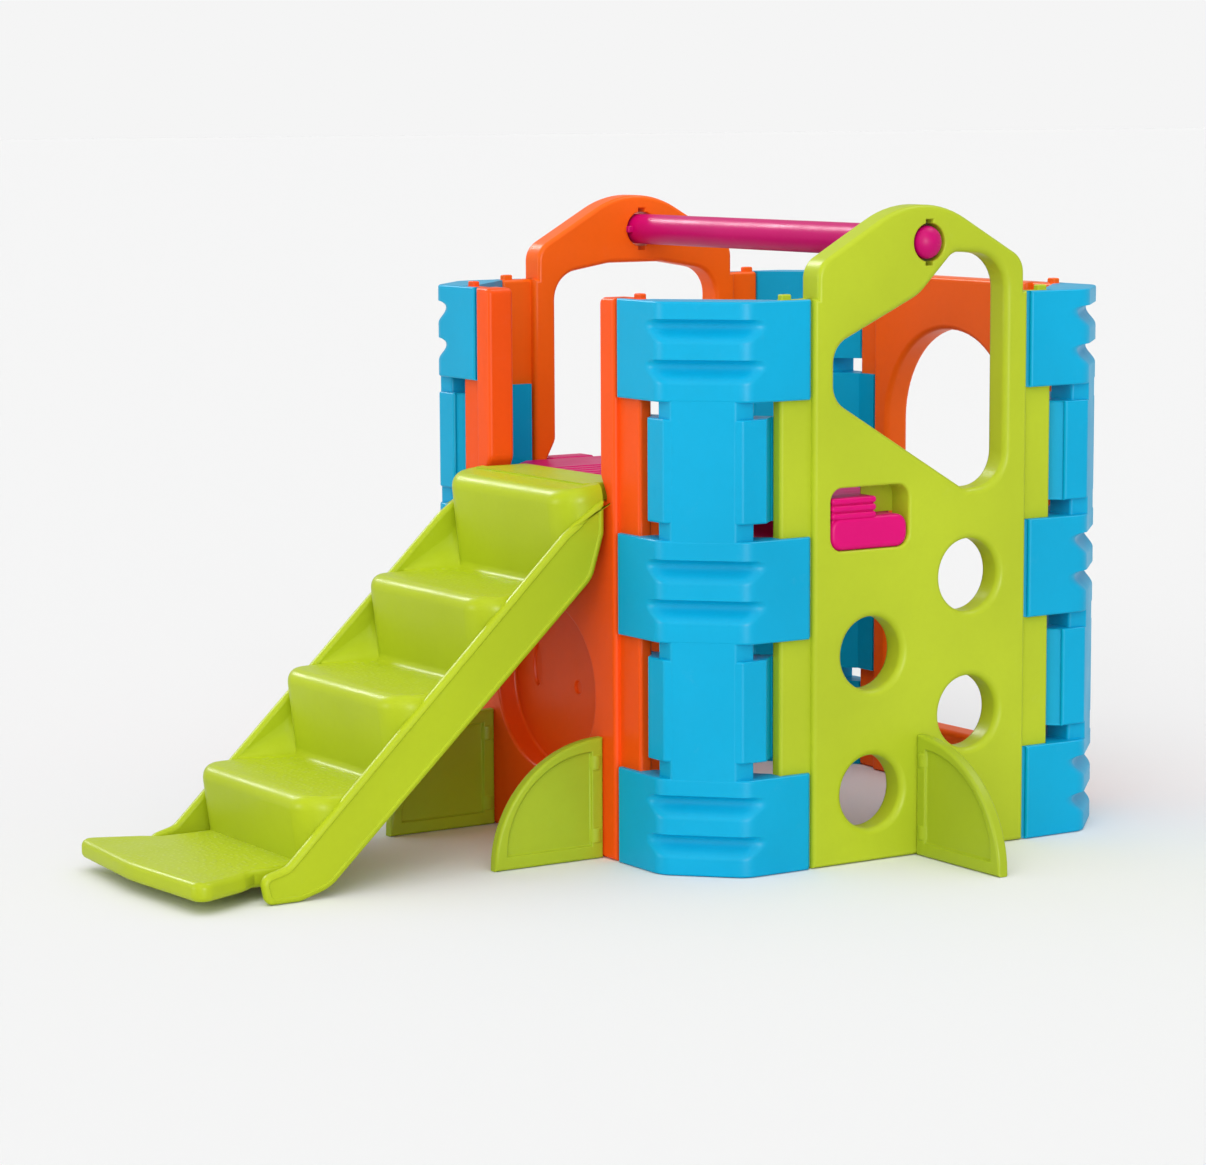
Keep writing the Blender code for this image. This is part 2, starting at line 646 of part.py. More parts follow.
def deck():
    """Hollow half deck and its beam, which lies on the slots' lower edges."""
    side = WALL_INNER - FIT_GAP
    corner = STRIP_INNER - (side - POST_STOP) - FIT_GAP
    plan = [
        (-corner, DECK_FRONT),
        (corner, DECK_FRONT),
        (side, DECK_FRONT + side - corner),
        (side, DECK_BACK),
        (-side, DECK_BACK),
        (-side, DECK_FRONT + side - corner),
    ]
    under = DECK_TOP - DECK_THICKNESS
    body = plate("deck", "XY", [plan], under, DECK_TOP, DECK_EDGE)
    left = SLOT_LEFT + BEAM_SIDE_GAP
    right = SLOT_RIGHT - BEAM_SIDE_GAP
    bottom = SLOT_BOTTOM + TOUCH_GAP
    radius = SLOT_RADIUS - BEAM_SIDE_GAP
    corners = [
        (left, bottom, radius),
        (right, bottom, radius),
        (right, bottom + BEAM_HEIGHT, radius / 2),
        (left, bottom + BEAM_HEIGHT, radius / 2),
    ]
    beam = fillet(corners)
    end = HALF - BEAM_SIDE_GAP
    tongue_low = (-end, left, bottom + BEAM_HEIGHT / 2)
    tongue_high = (end, right - BEAM_STEP, DECK_TOP - DECK_EDGE)
    pieces = [plate("beam", "YZ", [beam], -end, end, DECK_EDGE), block("tongue", tongue_low, tongue_high)]
    combine(body, pieces, "UNION")

    inside = [plate("cavity", "XY", [inset(plan, DECK_SKIN)], under + DECK_SKIN, DECK_TOP - DECK_SKIN)]
    inner_end = end - 2 * DECK_SKIN
    inside.append(plate("cavity", "YZ", [inset(beam, DECK_SKIN)], -inner_end, inner_end))
    hollow_low = (-inner_end, left + DECK_SKIN, bottom + BEAM_HEIGHT / 2)
    hollow_high = (inner_end, right - BEAM_STEP - DECK_SKIN, DECK_TOP - DECK_EDGE - DECK_SKIN)
    inside.append(block("hollow", hollow_low, hollow_high))
    middle = (left + right) / 2
    inside.append(rod("drain", (0.0, middle, bottom - DECK_SKIN), (0.0, middle, under), DRAIN_RADIUS, 12))
    pitch = (DECK_TOP - bottom - BEAM_HEIGHT) / (END_GROOVE_COUNT + 1)
    for x in (-end, end):
        for index in range(END_GROOVE_COUNT):
            z = bottom + BEAM_HEIGHT + pitch * (index + 1)
            low = (x - END_GROOVE_DEPTH, left - DECK_SKIN, z - END_GROOVE_HEIGHT / 2)
            high = (x + END_GROOVE_DEPTH, right - BEAM_STEP + DECK_SKIN, z + END_GROOVE_HEIGHT / 2)
            inside.append(block("groove", low, high))
    combine(body, inside, "DIFFERENCE")
    return body


def step_corners():
    """Side view of the stepped body, as (y, z, radius), from the toe up and back under."""
    corners = [(FIRST_NOSE + NOSE_OVERHANG, LIP_LIFT + LIP_THICKNESS / 2, 0.0)]
    for step in range(STEP_COUNT):
        nose = FIRST_NOSE + STEP_RUN * step
        tread = TOP_TREAD if step == STEP_COUNT - 1 else FIRST_TREAD_HEIGHT + STEP_RISE * step
        if step:
            foot = FIRST_TREAD_HEIGHT + STEP_RISE * (step - 1)
            corners.append((nose + NOSE_OVERHANG, foot, 0.0))
        corners.append((nose, tread, NOSE_RADIUS))
    corners.append((RAMP_FACE, LANDING_TOP, 0.0))
    corners.append((RAMP_FACE, GATE_SILL - NOSE_DROP, 0.0))
    corners += placed(UNDERSIDE_BACK, TOP_NOSE, TOP_TREAD)
    corners += placed(UNDERSIDE_HEEL, FIRST_NOSE, 0.0)
    return corners


def placed(corners, y, z):
    """Move corners of an outline from a nose of the ramp to where they belong."""
    return [(y + along, z + up, radius) for along, up, radius in corners]


def rail_corners():
    """Side view of a rail, from its toe on the floor up to the wall and back."""
    end = RAMP_FACE - SEAM
    wall_end = [
        (end, GATE_SILL + RAIL_END_LAP, 0.0),
        (end, GATE_SILL - NOSE_DROP - RAIL_END_LAP, RAIL_END_RADIUS),
    ]
    upper = placed(RAIL_HEAD, TOP_NOSE, TOP_TREAD) + wall_end + placed(RAIL_BACK, TOP_NOSE, TOP_TREAD)
    return placed(RAIL_TOE, FIRST_NOSE, 0.0) + upper + placed(RAIL_HEEL, FIRST_NOSE, 0.0)


def floor_lip():
    """Plan of the plate in front of the lowest step, with a notch at each side."""
    side = [
        (LIP_HALF_WIDTH, LIP_END + LIP_BOW, LIP_CORNER_RADIUS),
        (LIP_NECK_HALF_WIDTH + LIP_NECK_FLARE, FIRST_NOSE - LIP_NOTCH_REACH, LIP_NECK_RADIUS),
        (LIP_NECK_HALF_WIDTH, FIRST_NOSE - LIP_NECK_REACH, 0.0),
        (LIP_NECK_HALF_WIDTH, FIRST_NOSE + 2 * NOSE_OVERHANG, 0.0),
    ]
    return fillet(mirrored(side) + [(0.0, LIP_END, 0.0)])


def landing():
    """Top of the ramp: it lies through the gate, with a hook down behind the sill."""
    hook_near = -WALL_INNER + HOOK_CLEARANCE
    hook_far = hook_near + HOOK_THICKNESS
    side_view = [
        (RAMP_FACE - NOSE_RADIUS, LANDING_TOP, 0.0),
        (LANDING_END, LANDING_TOP, LANDING_EDGE),
        (LANDING_END, LANDING_BOTTOM + RAMP_SKIN, RAMP_SKIN / 2),
        (hook_far, LANDING_BOTTOM + RAMP_SKIN, 0.0),
        (hook_far, GATE_SILL - HOOK_DEPTH, HOOK_EDGE),
        (hook_near, GATE_SILL - HOOK_DEPTH, HOOK_EDGE),
        (hook_near, LANDING_BOTTOM, 0.0),
        (RAMP_FACE - NOSE_RADIUS, LANDING_BOTTOM, 0.0),
    ]
    half = GATE_HALF_WIDTH - LANDING_SIDE_GAP
    return plate("landing", "YZ", [fillet(side_view)], -half, half)


def stepped_ramp():
    steps = step_corners()
    body = plate("ramp", "YZ", [fillet(steps)], -STEP_HALF_WIDTH, STEP_HALF_WIDTH)
    lip = floor_lip()
    pieces = [landing(), plate("lip", "XY", [lip], LIP_LIFT, LIP_LIFT + LIP_THICKNESS, RAMP_SKIN)]
    rail = fillet(rail_corners())
    for low, high in ((-RAMP_HALF_WIDTH, -RAIL_INNER), (RAIL_INNER, RAMP_HALF_WIDTH)):
        pieces.append(plate("rail", "YZ", [rail], low, high, RAIL_EDGE))
    combine(body, pieces, "UNION")

    inner_half = STEP_HALF_WIDTH - RAMP_SKIN
    inside = [plate("cavity", "YZ", [inset(fillet(steps), RAMP_SKIN)], -inner_half, inner_half)]
    lip_span = (LIP_LIFT + RAMP_SKIN, LIP_LIFT + LIP_THICKNESS - RAMP_SKIN)
    inside.append(plate("cavity", "XY", [inset(lip, 2 * RAMP_SKIN)], *lip_span))
    for side in (-1, 1):
        near = side * (RAIL_INNER + RAMP_SKIN)
        far = side * (RAMP_HALF_WIDTH - RAMP_SKIN)
        inside.append(plate("cavity", "YZ", [inset(rail, 2 * RAMP_SKIN)], min(near, far), max(near, far)))
    drain_y = FIRST_NOSE - NOSE_DROP
    drain_top = LIP_LIFT + LIP_THICKNESS / 2
    inside.append(rod("drain", (0.0, drain_y, 0.0), (0.0, drain_y, drain_top), DRAIN_RADIUS, 12))
    combine(body, inside, "DIFFERENCE")
    return body


def overhead_bar():
    """Tube through both tall walls, with a domed end and a pair of lugs at each side."""
    stations = []
    ends = (-HALF + BAR_INSET, HALF + BAR_PROTRUSION)
    for side, end in zip((-1, 1), ends):
        dome = [(end - side * BAR_DOME, BAR_RADIUS)]
        for step in range(3):
            angle = pi / 2 * (step + 0.6) / 2.6
            dome.append((end - side * BAR_DOME * (1 - sin(angle)), BAR_RADIUS * cos(angle)))
        dome[-1] = (end, BAR_RADIUS * BAR_TIP)
        stations += dome if side > 0 else dome[::-1]
    sections = [[(x, *point) for point in ellipse(0.0, 0.0, radius, radius, 24)] for x, radius in stations]
    body = loft("bar", sections)
    far = WALL_INNER - BAR_LUG_CLEARANCE
    reach = BAR_RADIUS + BAR_LUG_REACH
    lugs = []
    for side in (-1, 1):
        low = (side * (far - BAR_LUG_LENGTH), -reach, -BAR_LUG_WIDTH / 2)
        lugs.append(block("lug", low, (side * far, reach, BAR_LUG_WIDTH / 2)))
    combine(body, lugs, "UNION")
    bore_start, bore_end = [end - side * (BAR_DOME + BAR_SKIN) for side, end in zip((-1, 1), ends)]
    bore = rod("bore", (bore_start, 0.0, 0.0), (bore_end, 0.0, 0.0), BAR_RADIUS - BAR_SKIN)
    vent = rod("vent", (0.0, 0.0, -2 * BAR_RADIUS), (0.0, 0.0, 0.0), BAR_SKIN, 12)
    combine(body, [bore, vent], "DIFFERENCE")
    return body


def quarter(reach, height, start=0.0):
    """A quarter ellipse between two straight edges that begin at start."""
    steps = 3 * ARC_STEPS
    points = [(start, start)]
    for step in range(steps + 1):
        angle = pi / 2 * step / steps
        points.append((start + (reach - start) * cos(angle), start + (height - start) * sin(angle)))
    return points


def stabiliser_foot():
    """Quarter-round plate with a rim, sunk faces and two plugs on its wall edge."""
    half = FOOT_THICKNESS / 2
    body = plate("foot", "XZ", [quarter(FOOT_REACH, FOOT_HEIGHT)], -half, half, FOOT_EDGE)
    panel = quarter(FOOT_REACH - FOOT_RIM, FOOT_HEIGHT - FOOT_RIM, FOOT_RIM)
    sunk = [
        plate("panel", "XZ", [panel], -half - FOOT_EDGE, -half + FOOT_RECESS),
        plate("panel", "XZ", [panel], half - FOOT_RECESS, half + FOOT_EDGE),
    ]
    combine(body, sunk, "DIFFERENCE")
    plugs = []
    for z in (FOOT_PLUG_LOW, FOOT_PLUG_HIGH):
        rise = FOOT_PLUG_HEIGHT / 2
        low = (-FOOT_PLUG_DEPTH, -FOOT_PLUG_WIDTH / 2, z - rise)
        plugs.append(block("plug", low, (FOOT_RIM / 2, FOOT_PLUG_WIDTH / 2, z + rise)))
        x = FOOT_KNUCKLE_RADIUS
        plugs.append(rod("knuckle", (x, 0.0, z - rise), (x, 0.0, z + rise), FOOT_KNUCKLE_RADIUS, 16))
    combine(body, plugs, "UNION")
    return body


def main():
    reach_x = HALF + FIT_GAP + FOOT_REACH
    root = bpy.data.objects.new("tower_centre", None)
    bpy.context.scene.collection.objects.link(root)
    root.location = ((HALF - reach_x) / 2, (-LIP_END - HALF) / 2, 0.0)

    walls = (
        ("ramp_wall", ramp_wall, "red_orange"),
        ("climbing_wall", climbing_wall, "green"),
        ("door_wall", door_wall, "red_orange"),
        ("arch_wall", arch_wall, "orange"),
    )
    for index, (name, make, colour) in enumerate(walls):
        finish(make(), name, colour, root, turn=index * pi / 2)

    post = corner_post()
    finish(post, "door_climbing_post", "blue", root)
    for index, name in enumerate(("door_arch_post", "ramp_arch_post", "ramp_climbing_post")):
        copy = link_mesh(name, post.data.copy(), PARTS)
        finish(copy, name, "blue", root, turn=(index + 1) * pi / 2)

    finish(deck(), "deck", "magenta", root)
    finish(overhead_bar(), "overhead_bar", "magenta", root, (0.0, BAR_OFFSET, BAR_HEIGHT))

    ramp = stepped_ramp()
    pivot = Vector((0.0, -WALL_INNER, GATE_SILL))
    ramp.data.transform(Matrix.Translation(-pivot))
    finish(ramp, "stepped_ramp", "green", root, pivot)

    foot = stabiliser_foot()
    outside = HALF + FIT_GAP
    finish(foot, "climbing_foot", "green", root, (outside, 0.0, 0.0))
    for name, x in (("ramp_foot_left", -FOOT_SIDE), ("ramp_foot_right", FOOT_SIDE)):
        copy = link_mesh(name, foot.data.copy(), PARTS)
        finish(copy, name, "green", root, (x, -outside, 0.0), -pi / 2)


clear_scene()
PARTS = bpy.data.collections.new("slide_playset")
CUTTERS = bpy.data.collections.new("cutters")
for group in (PARTS, CUTTERS):
    bpy.context.scene.collection.children.link(group)
MATERIALS = {name: make_material(name, colour) for name, colour in COLOURS.items()}
main()
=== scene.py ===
"""Looks of the slide playset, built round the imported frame.

Every piece is drawn in the tower's own frame: origin on the floor under the middle
of the tower, walls drawn as the ramp wall (facing -Y) and then turned about Z.
Metres, +Z up.
"""

from math import acos, atan2, cos, pi, radians, sin, sqrt, tan

import bmesh
import bpy
from mathutils import Matrix, Vector
from mathutils.geometry import tessellate_polygon


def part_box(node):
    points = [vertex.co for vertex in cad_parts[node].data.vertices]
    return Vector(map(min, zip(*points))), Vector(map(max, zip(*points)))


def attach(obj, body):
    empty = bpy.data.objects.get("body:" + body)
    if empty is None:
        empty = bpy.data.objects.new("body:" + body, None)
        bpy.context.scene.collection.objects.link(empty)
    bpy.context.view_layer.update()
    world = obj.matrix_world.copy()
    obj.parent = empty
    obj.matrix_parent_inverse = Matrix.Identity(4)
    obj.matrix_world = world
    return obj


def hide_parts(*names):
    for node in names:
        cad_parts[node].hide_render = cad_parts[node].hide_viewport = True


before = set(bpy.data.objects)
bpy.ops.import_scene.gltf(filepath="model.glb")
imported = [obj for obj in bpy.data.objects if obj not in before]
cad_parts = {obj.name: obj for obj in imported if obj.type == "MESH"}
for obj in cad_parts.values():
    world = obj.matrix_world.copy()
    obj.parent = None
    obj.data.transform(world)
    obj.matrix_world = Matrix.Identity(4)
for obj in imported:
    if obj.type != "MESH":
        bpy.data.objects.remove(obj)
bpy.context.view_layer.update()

# Tower and corner posts
TOWER_WIDTH = 1.038
POST_HEIGHT = 1.064
CORNER_CUT = 0.117
FLANGE_REACH = 0.150
SEAM = 0.001
FIT_GAP = 0.0005
TOUCH_GAP = 0.0003
BAND_THICKNESS = 0.012
BANDS = ((0.0, 0.182), (0.435, 0.6255), (0.880, POST_HEIGHT))
BAND_ROUND = 0.0055
SMALLEST_ROUND = 0.0002
BEND_RADIUS = 0.045
NOTCH_HEIGHT = 0.031
GROOVE_OFFSET = 0.037
GROOVE_HEIGHT = 0.046
GROOVE_DEPTH = 0.0215
GROOVE_START = -0.5
GROOVE_LONG_SLOPE = 0.72
GROOVE_TOP = ((0.30, 0.97), (0.37, 0.84), (0.43, 0.60), (0.475, 0.28), (0.5, 0.0))
TAB_END = 0.338
COLUMN_END = 0.3745
COLUMN_FACE = 0.503
COLUMN_INNER = 0.440
COLUMN_PROUD = 0.0008
COLUMN_END_ROUND = 0.006
COLUMN_INNER_ROUND = 0.004
FILLER_BEND = 0.010
TAB_SHIFT = 0.006
FILLER_FACE = 0.5125
STRIP_THICKNESS = 0.011

# Walls
WALL_THICKNESS = 0.058
WALL_ROUND = 0.009
TONGUE_WIDTH = 0.068
TONGUE_THICKNESS = 0.029
TONGUE_ROUND = 0.007
LUG_HEIGHT = 0.010
LUG_ROUND = 0.003
GABLE_HALF_WIDTH = 0.2415
GABLE_SHOULDER = 1.126
GABLE_PEAK = 1.262
GABLE_PEAK_RADIUS = 0.200
GABLE_SHOULDER_RADIUS = 0.045
GATE_HALF_WIDTH = 0.200
GATE_FLARE = 0.020
GATE_FLARE_HEIGHT = 0.050
GATE_FLARE_ROUND = 0.012
GATE_JAMB_ROUND = 0.030
GATE_TOP_ROUND = 0.012
GATE_SILL = 0.680
ARCH_TOP = 1.093
ARCH_SHOULDER_DROP = 0.022
ARCH_SHOULDER_RADIUS = 0.060
ARCH_TOP_RADIUS = 0.080
ARCH_EDGE = 0.010
DOOR_HALF_WIDTH = 0.205
DOOR_SILL = 0.122
DOOR_TOP = 0.957
DOOR_RADIUS = 0.200
DOOR_SILL_RADIUS = 0.030
DOOR_EDGE = 0.012
RECESS_HALF_WIDTH = 0.179
RECESS_HALF_HEIGHT = 0.166
RECESS_CENTRE = 0.305
RECESS_DEPTH = 0.044
RECESS_EDGE = 0.006
RECESS_SLOT = (-0.097, 0.328, 0.015, 0.040)
RECESS_SLOT_EDGE = 0.004
RECESS_SLOT_DEPTH = 0.006
RECESS_DIMPLE = (0.053, 0.303, 0.013, 0.013)
RECESS_DIMPLE_EDGE = 0.003
RECESS_DIMPLE_DEPTH = 0.005
RECESS_DETAIL_FLOOR = 0.002
HOLD_RADIUS = 0.0695
HOLD_ROUND = 0.014
HOLD_SIDE = 0.115
HOLD_FIRST = 0.132
HOLD_PITCH = 0.132
HOLD_COUNT = 4
SLOT_LEFT = -0.212
SLOT_RIGHT = -0.031
SLOT_BOTTOM = 0.594
SLOT_TOP = 0.712
SLOT_RADIUS = 0.026
SLOT_EDGE = 0.006
SLOT_PLATE_THICKNESS = 0.0032
SLOT_PLATE_LAP = 0.002
SLOT_PLATE_EDGE = 0.001
LEAF_ROUND = 0.014
LEAF_CORNERS = (
    (0.105, 0.693, 0.030),
    (0.197, 0.700, 0.065),
    (0.197, 1.135, 0.070),
    (0.075, 1.143, 0.035),
    (-0.005, 1.065, 0.100),
    (-0.203, 0.975, 0.050),
    (-0.203, 0.876, 0.050),
)

# Overhead bar
BAR_HEIGHT = 1.162
BAR_OFFSET = 0.013
BAR_RADIUS = 0.031
BAR_CLEARANCE = 0.001
KEYHOLE_MARGIN = 0.005
KEYHOLE_EDGE = 0.0035
BAR_DOME = 0.022
BAR_TIP_RADIUS = 0.0015
BAR_PROTRUSION = 0.012
BAR_INSET = 0.006
BAR_LUG_REACH = 0.011
BAR_LUG_WIDTH = 0.014
BAR_LUG_LENGTH = 0.010
BAR_LUG_CLEARANCE = 0.002
BAR_LUG_EDGE = 0.003

# Deck
DECK_TOP = 0.695
DECK_THICKNESS = 0.045
DECK_BACK = -0.030
DECK_FRONT_GAP = 0.013
DECK_ROUND = 0.006
DECK_RIB_PITCH = 0.036
DECK_RIB_WIDTH = 0.020
DECK_RIB_HEIGHT = 0.003
DECK_RIB_END = 0.014
DECK_RIB_EDGE = 0.0024
DECK_CORNER_RADIUS = 0.010
BEAM_HEIGHT = 0.062
BEAM_SIDE_GAP = 0.002
BEAM_STEP = 0.072
BEAM_EDGE = 0.009
BEAM_RIBS = 3
BEAM_RIB_REACH = 0.9
BEAM_RIB_SHARE = 0.90
BEAM_RIB_SINK = 0.004
BEAM_RIB_EDGE = 0.0055
BEAM_CORE_INSET = 0.004
BEAM_CORE_SINK = 0.012
BEAM_CORE_FACE = 0.005
BEAM_CORE_DROP = 0.003
BEAM_CORE_EDGE = 0.002

# Stepped ramp
RAMP_HALF_WIDTH = 0.238
RAIL_INNER = 0.218
STEP_HALF_WIDTH = 0.228
STEP_PLAN_RADIUS = 0.062
STEP_SMALLEST_RADIUS = 0.010
STEP_FOOT_ROUND = 0.018
STEP_FOOT_LAP = 0.004
STEP_LAP = 0.030
BLEND_START = 0.096
BLEND_TIP = 0.003
BLEND_WIDTH = 0.100
BLEND_HEIGHT = 0.098
BLEND_SINK = 0.004
RAMP_WALL_GAP = 0.010
STEP_COUNT = 4
STEP_RUN = 0.1845
FIRST_TREAD_HEIGHT = 0.184
TOP_RISE = 0.185
TOP_NOSE_REACH = 0.0995
NOSE_RADIUS = 0.024
NOSE_SOFTNESS = 0.028
NOSE_SIDE_SHARE = 0.60
NOSE_DROP = 0.050
NOSE_OVERHANG = 0.020
LANDING_THICKNESS = 0.036
LANDING_CROWN = 0.012
LANDING_SIDE_GAP = 0.003
LANDING_END_REACH = 0.033
LANDING_EDGE = 0.0035
LANDING_TOP_ROUND = 0.012
LANDING_TIP_ROUND = 0.006
LANDING_TIP_LIFT = 0.004
HOOK_CLEARANCE = 0.012
HOOK_THICKNESS = 0.014
HOOK_DEPTH = 0.030
HOOK_ROUND = 0.004
LIP_REACH = 0.243
LIP_BOW = 0.020
LIP_BOW_RADIUS = 0.400
LIP_HALF_WIDTH = 0.262
LIP_CORNER_RADIUS = 0.025
LIP_LIFT = 0.024
LIP_THICKNESS = 0.036
LIP_ROUND = 0.012
LIP_NOTCH_REACH = 0.110
LIP_NECK_REACH = 0.080
LIP_NECK_HALF_WIDTH = 0.190
LIP_NECK_FLARE = 0.022
LIP_NECK_RADIUS = 0.020
RAIL_TOE = ((-0.078, 0.0, 0.018), (-0.090, 0.052, 0.020), (-0.036, 0.066, 0.040))
RAIL_HEAD = ((0.0, -0.077, 0.060), (0.072, -0.026, 0.020))
RAIL_BACK = ((0.0625, -0.164, 0.060),)
RAIL_HEEL = ((0.052, 0.018, 0.080), (-0.010, 0.0, 0.040))
RAIL_END_LAP = 0.006
RAIL_END_RADIUS = 0.012
RAIL_ROUND = 0.0085
RAIL_RIM = 0.0115
RAIL_PANEL_DEPTH = 0.0025
RAIL_PANEL_EDGE = 0.0015
RAIL_PANEL_RADII = (0.010, 0.010, 0.040, 0.050, 0.004, 0.002, 0.004, 0.050, 0.060, 0.030)
UNDERSIDE_BACK = (0.061, -0.161)
UNDERSIDE_HEEL = (0.052, 0.022)

# Stabiliser feet
FOOT_REACH = 0.252
RAMP_FOOT_REACH = 0.240
FOOT_HEIGHT = 0.232
FOOT_THICKNESS = 0.024
FOOT_ROUND = 0.006
FOOT_RIM = 0.026
FOOT_RECESS = 0.006
FOOT_SIDE = 0.200
FOOT_KNUCKLES = (0.045, 0.185)
FOOT_KNUCKLE_HEIGHT = 0.030
FOOT_KNUCKLE_RADIUS = 0.015
FOOT_KNUCKLE_EDGE = 0.004
FOOT_TIP = 0.07
FOOT_TIP_END = 0.998
FOOT_PANEL_TIP = 0.10
FOOT_PANEL_EDGE = 0.003
FOOT_PANEL_FLOOR = 0.004

# Values that follow from the sizes above
HALF = TOWER_WIDTH / 2
BEND = HALF - CORNER_CUT
BAND_END = BEND - FLANGE_REACH
PANEL_HALF = BAND_END - SEAM
WALL_INNER = HALF - WALL_THICKNESS
TONGUE_OUTER = HALF - BAND_THICKNESS - FIT_GAP
TONGUE_INNER = TONGUE_OUTER - TONGUE_THICKNESS
TONGUE_END = PANEL_HALF + TONGUE_WIDTH
POST_STOP = TONGUE_END + FIT_GAP
CORE_FACE = HALF - BAND_THICKNESS
BAND_EDGE = BAND_ROUND * 0.8
STRIP_OUTER = TONGUE_INNER - FIT_GAP
STRIP_INNER = STRIP_OUTER - STRIP_THICKNESS
LANDING_END = -WALL_INNER + LANDING_END_REACH
LANDING_BOTTOM = GATE_SILL + TOUCH_GAP
LANDING_TOP = GATE_SILL + LANDING_THICKNESS
TOP_TREAD = LANDING_TOP - LANDING_CROWN
STEP_RISE = (TOP_TREAD - TOP_RISE - FIRST_TREAD_HEIGHT) / (STEP_COUNT - 2)
RAMP_FACE = -HALF - RAMP_WALL_GAP
TOP_NOSE = -HALF - TOP_NOSE_REACH
FIRST_NOSE = TOP_NOSE - STEP_RUN * (STEP_COUNT - 1)
LIP_END = FIRST_NOSE - LIP_REACH
DECK_FRONT = LANDING_END + DECK_FRONT_GAP

# How finely arcs are divided
ARC_STEPS = 9
ROUND_STEPS = 4
WALL_ARC_STEPS = 14
DOOR_ARC_STEPS = 16
POST_ARC_STEPS = 7
SIDE_ARC_STEPS = 5
STEP_ARC_STEPS = 8
STEP_SOFT_STEPS = 7
LIP_ARC_STEPS = 12

# Photograph's frame and fitted camera, in the tower's frame
PHOTO_WIDTH = 1206
FOCAL_PIXELS = 3653.55
SENSOR_WIDTH = 36.0
CAMERA_PLACE = (5.9553, -4.1982, 1.419)
CAMERA_YAW = 57.357
CAMERA_PITCH = 7.444
CAMERA_ROLL = -0.262


def tower_centre():
    """Where the tower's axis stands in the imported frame."""
    gate_low, gate_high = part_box("ramp_wall")
    side_low, side_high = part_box("climbing_wall")
    return Vector(((gate_low.x + gate_high.x) / 2, (side_low.y + side_high.y) / 2, 0.0))


CENTRE = tower_centre()


# Outlines

def fillet(corners, steps=ARC_STEPS):
    """Round the corners of a closed outline; each corner is (x, y, radius)."""
    points = []
    count = len(corners)
    for index, (x, y, radius) in enumerate(corners):
        if radius <= 0.0:
            points.append((x, y))
            continue
        here = Vector((x, y))
        before = (Vector(corners[index - 1][:2]) - here).normalized()
        after = (Vector(corners[(index + 1) % count][:2]) - here).normalized()
        half_angle = before.angle(after) / 2
        centre = here + (before + after).normalized() * radius / sin(half_angle)
        start = here + before * radius / tan(half_angle) - centre
        end = here + after * radius / tan(half_angle) - centre
        first = atan2(start.y, start.x)
        sweep = (atan2(end.y, end.x) - first + pi) % (2 * pi) - pi
        for step in range(steps + 1):
            angle = first + sweep * step / steps
            points.append((centre.x + radius * cos(angle), centre.y + radius * sin(angle)))
    return points


def mirrored(right_half):
    """Close a half outline, listed upwards on its right side, with its mirror image."""
    return right_half + [(-corner[0], *corner[1:]) for corner in reversed(right_half)]


def ellipse(centre_x, centre_y, radius_x, radius_y, steps=56):
    angles = [2 * pi * step / steps for step in range(steps)]
    return [(centre_x + radius_x * cos(angle), centre_y + radius_y * sin(angle)) for angle in angles]


def rectangle(low, high, radius):
    (low_x, low_y), (high_x, high_y) = low, high
    corners = [(low_x, low_y), (high_x, low_y), (high_x, high_y), (low_x, high_y)]
    return fillet([(x, y, radius) for x, y in corners], ROUND_STEPS)


def inset(outline, distance):
    """Move a closed outline inwards by a distance, with mitred corners."""
    pairs = zip(outline, outline[1:] + outline[:1])
    area = sum(x0 * y1 - x1 * y0 for (x0, y0), (x1, y1) in pairs)
    side = 1.0 if area > 0 else -1.0
    moved = []
    for index, point in enumerate(outline):
        here = Vector(point)
        before = (here - Vector(outline[index - 1])).normalized()
        after = (Vector(outline[(index + 1) % len(outline)]) - here).normalized()
        normal_before = Vector((-before.y, before.x)) * side
        normal_after = Vector((-after.y, after.x)) * side
        mitre = (normal_before + normal_after) / (1.0 + normal_before.dot(normal_after))
        moved.append(tuple(here + mitre * distance))
    return moved


def placed(corners, y, z):
    """Move corners of an outline from a nose of the ramp to where they belong."""
    return [(y + along, z + up, radius) for along, up, radius in corners]


# Solids, added to an open bmesh

PLANES = {
    "XY": lambda u, v, w: (u, v, w),
    "YZ": lambda u, v, w: (w, u, v),
    "XZ": lambda u, v, w: (u, -w, v),
}


# A box's corners in plan are a little rounder than its edges
BOX_CORNER_SHARE = 1.05
SHARP_ANGLE = 34.0


class Cut:
    """An opening in a slab: through it, or sunk from one side down to a floor."""

    def __init__(self, outline, edge, depth=None, from_high=True, floor_edge=0.004, cuts=()):
        self.outline = outline
        self.edge = edge
        self.depth = depth
        self.from_high = from_high
        self.floor_edge = floor_edge
        self.cuts = list(cuts)


def quarter_arc(steps=ROUND_STEPS):
    return [pi / 2 * step / steps for step in range(steps + 1)]


def skin(work, loops):
    """Join a row of closed loops of vertices with four-sided faces."""
    for lower, upper in zip(loops, loops[1:]):
        for index in range(len(lower)):
            following = (index + 1) % len(lower)
            work.faces.new((lower[index], lower[following], upper[following], upper[index]))


def add_rings(work, place, rings):
    """Skin a row of rings, each (outline, level); returns the first and last rings' vertices."""
    loops = [[work.verts.new(place(u, v, level)) for u, v in outline] for outline, level in rings]
    skin(work, loops)
    return loops[0], loops[-1]


def fill_flat(work, loops):
    """Close a flat face bounded by one rim and any holes, with triangles."""
    vertices = [vertex for loop in loops for vertex in loop]
    for triangle in tessellate_polygon([[vertex.co for vertex in loop] for loop in loops]):
        work.faces.new([vertices[index] for index in triangle])


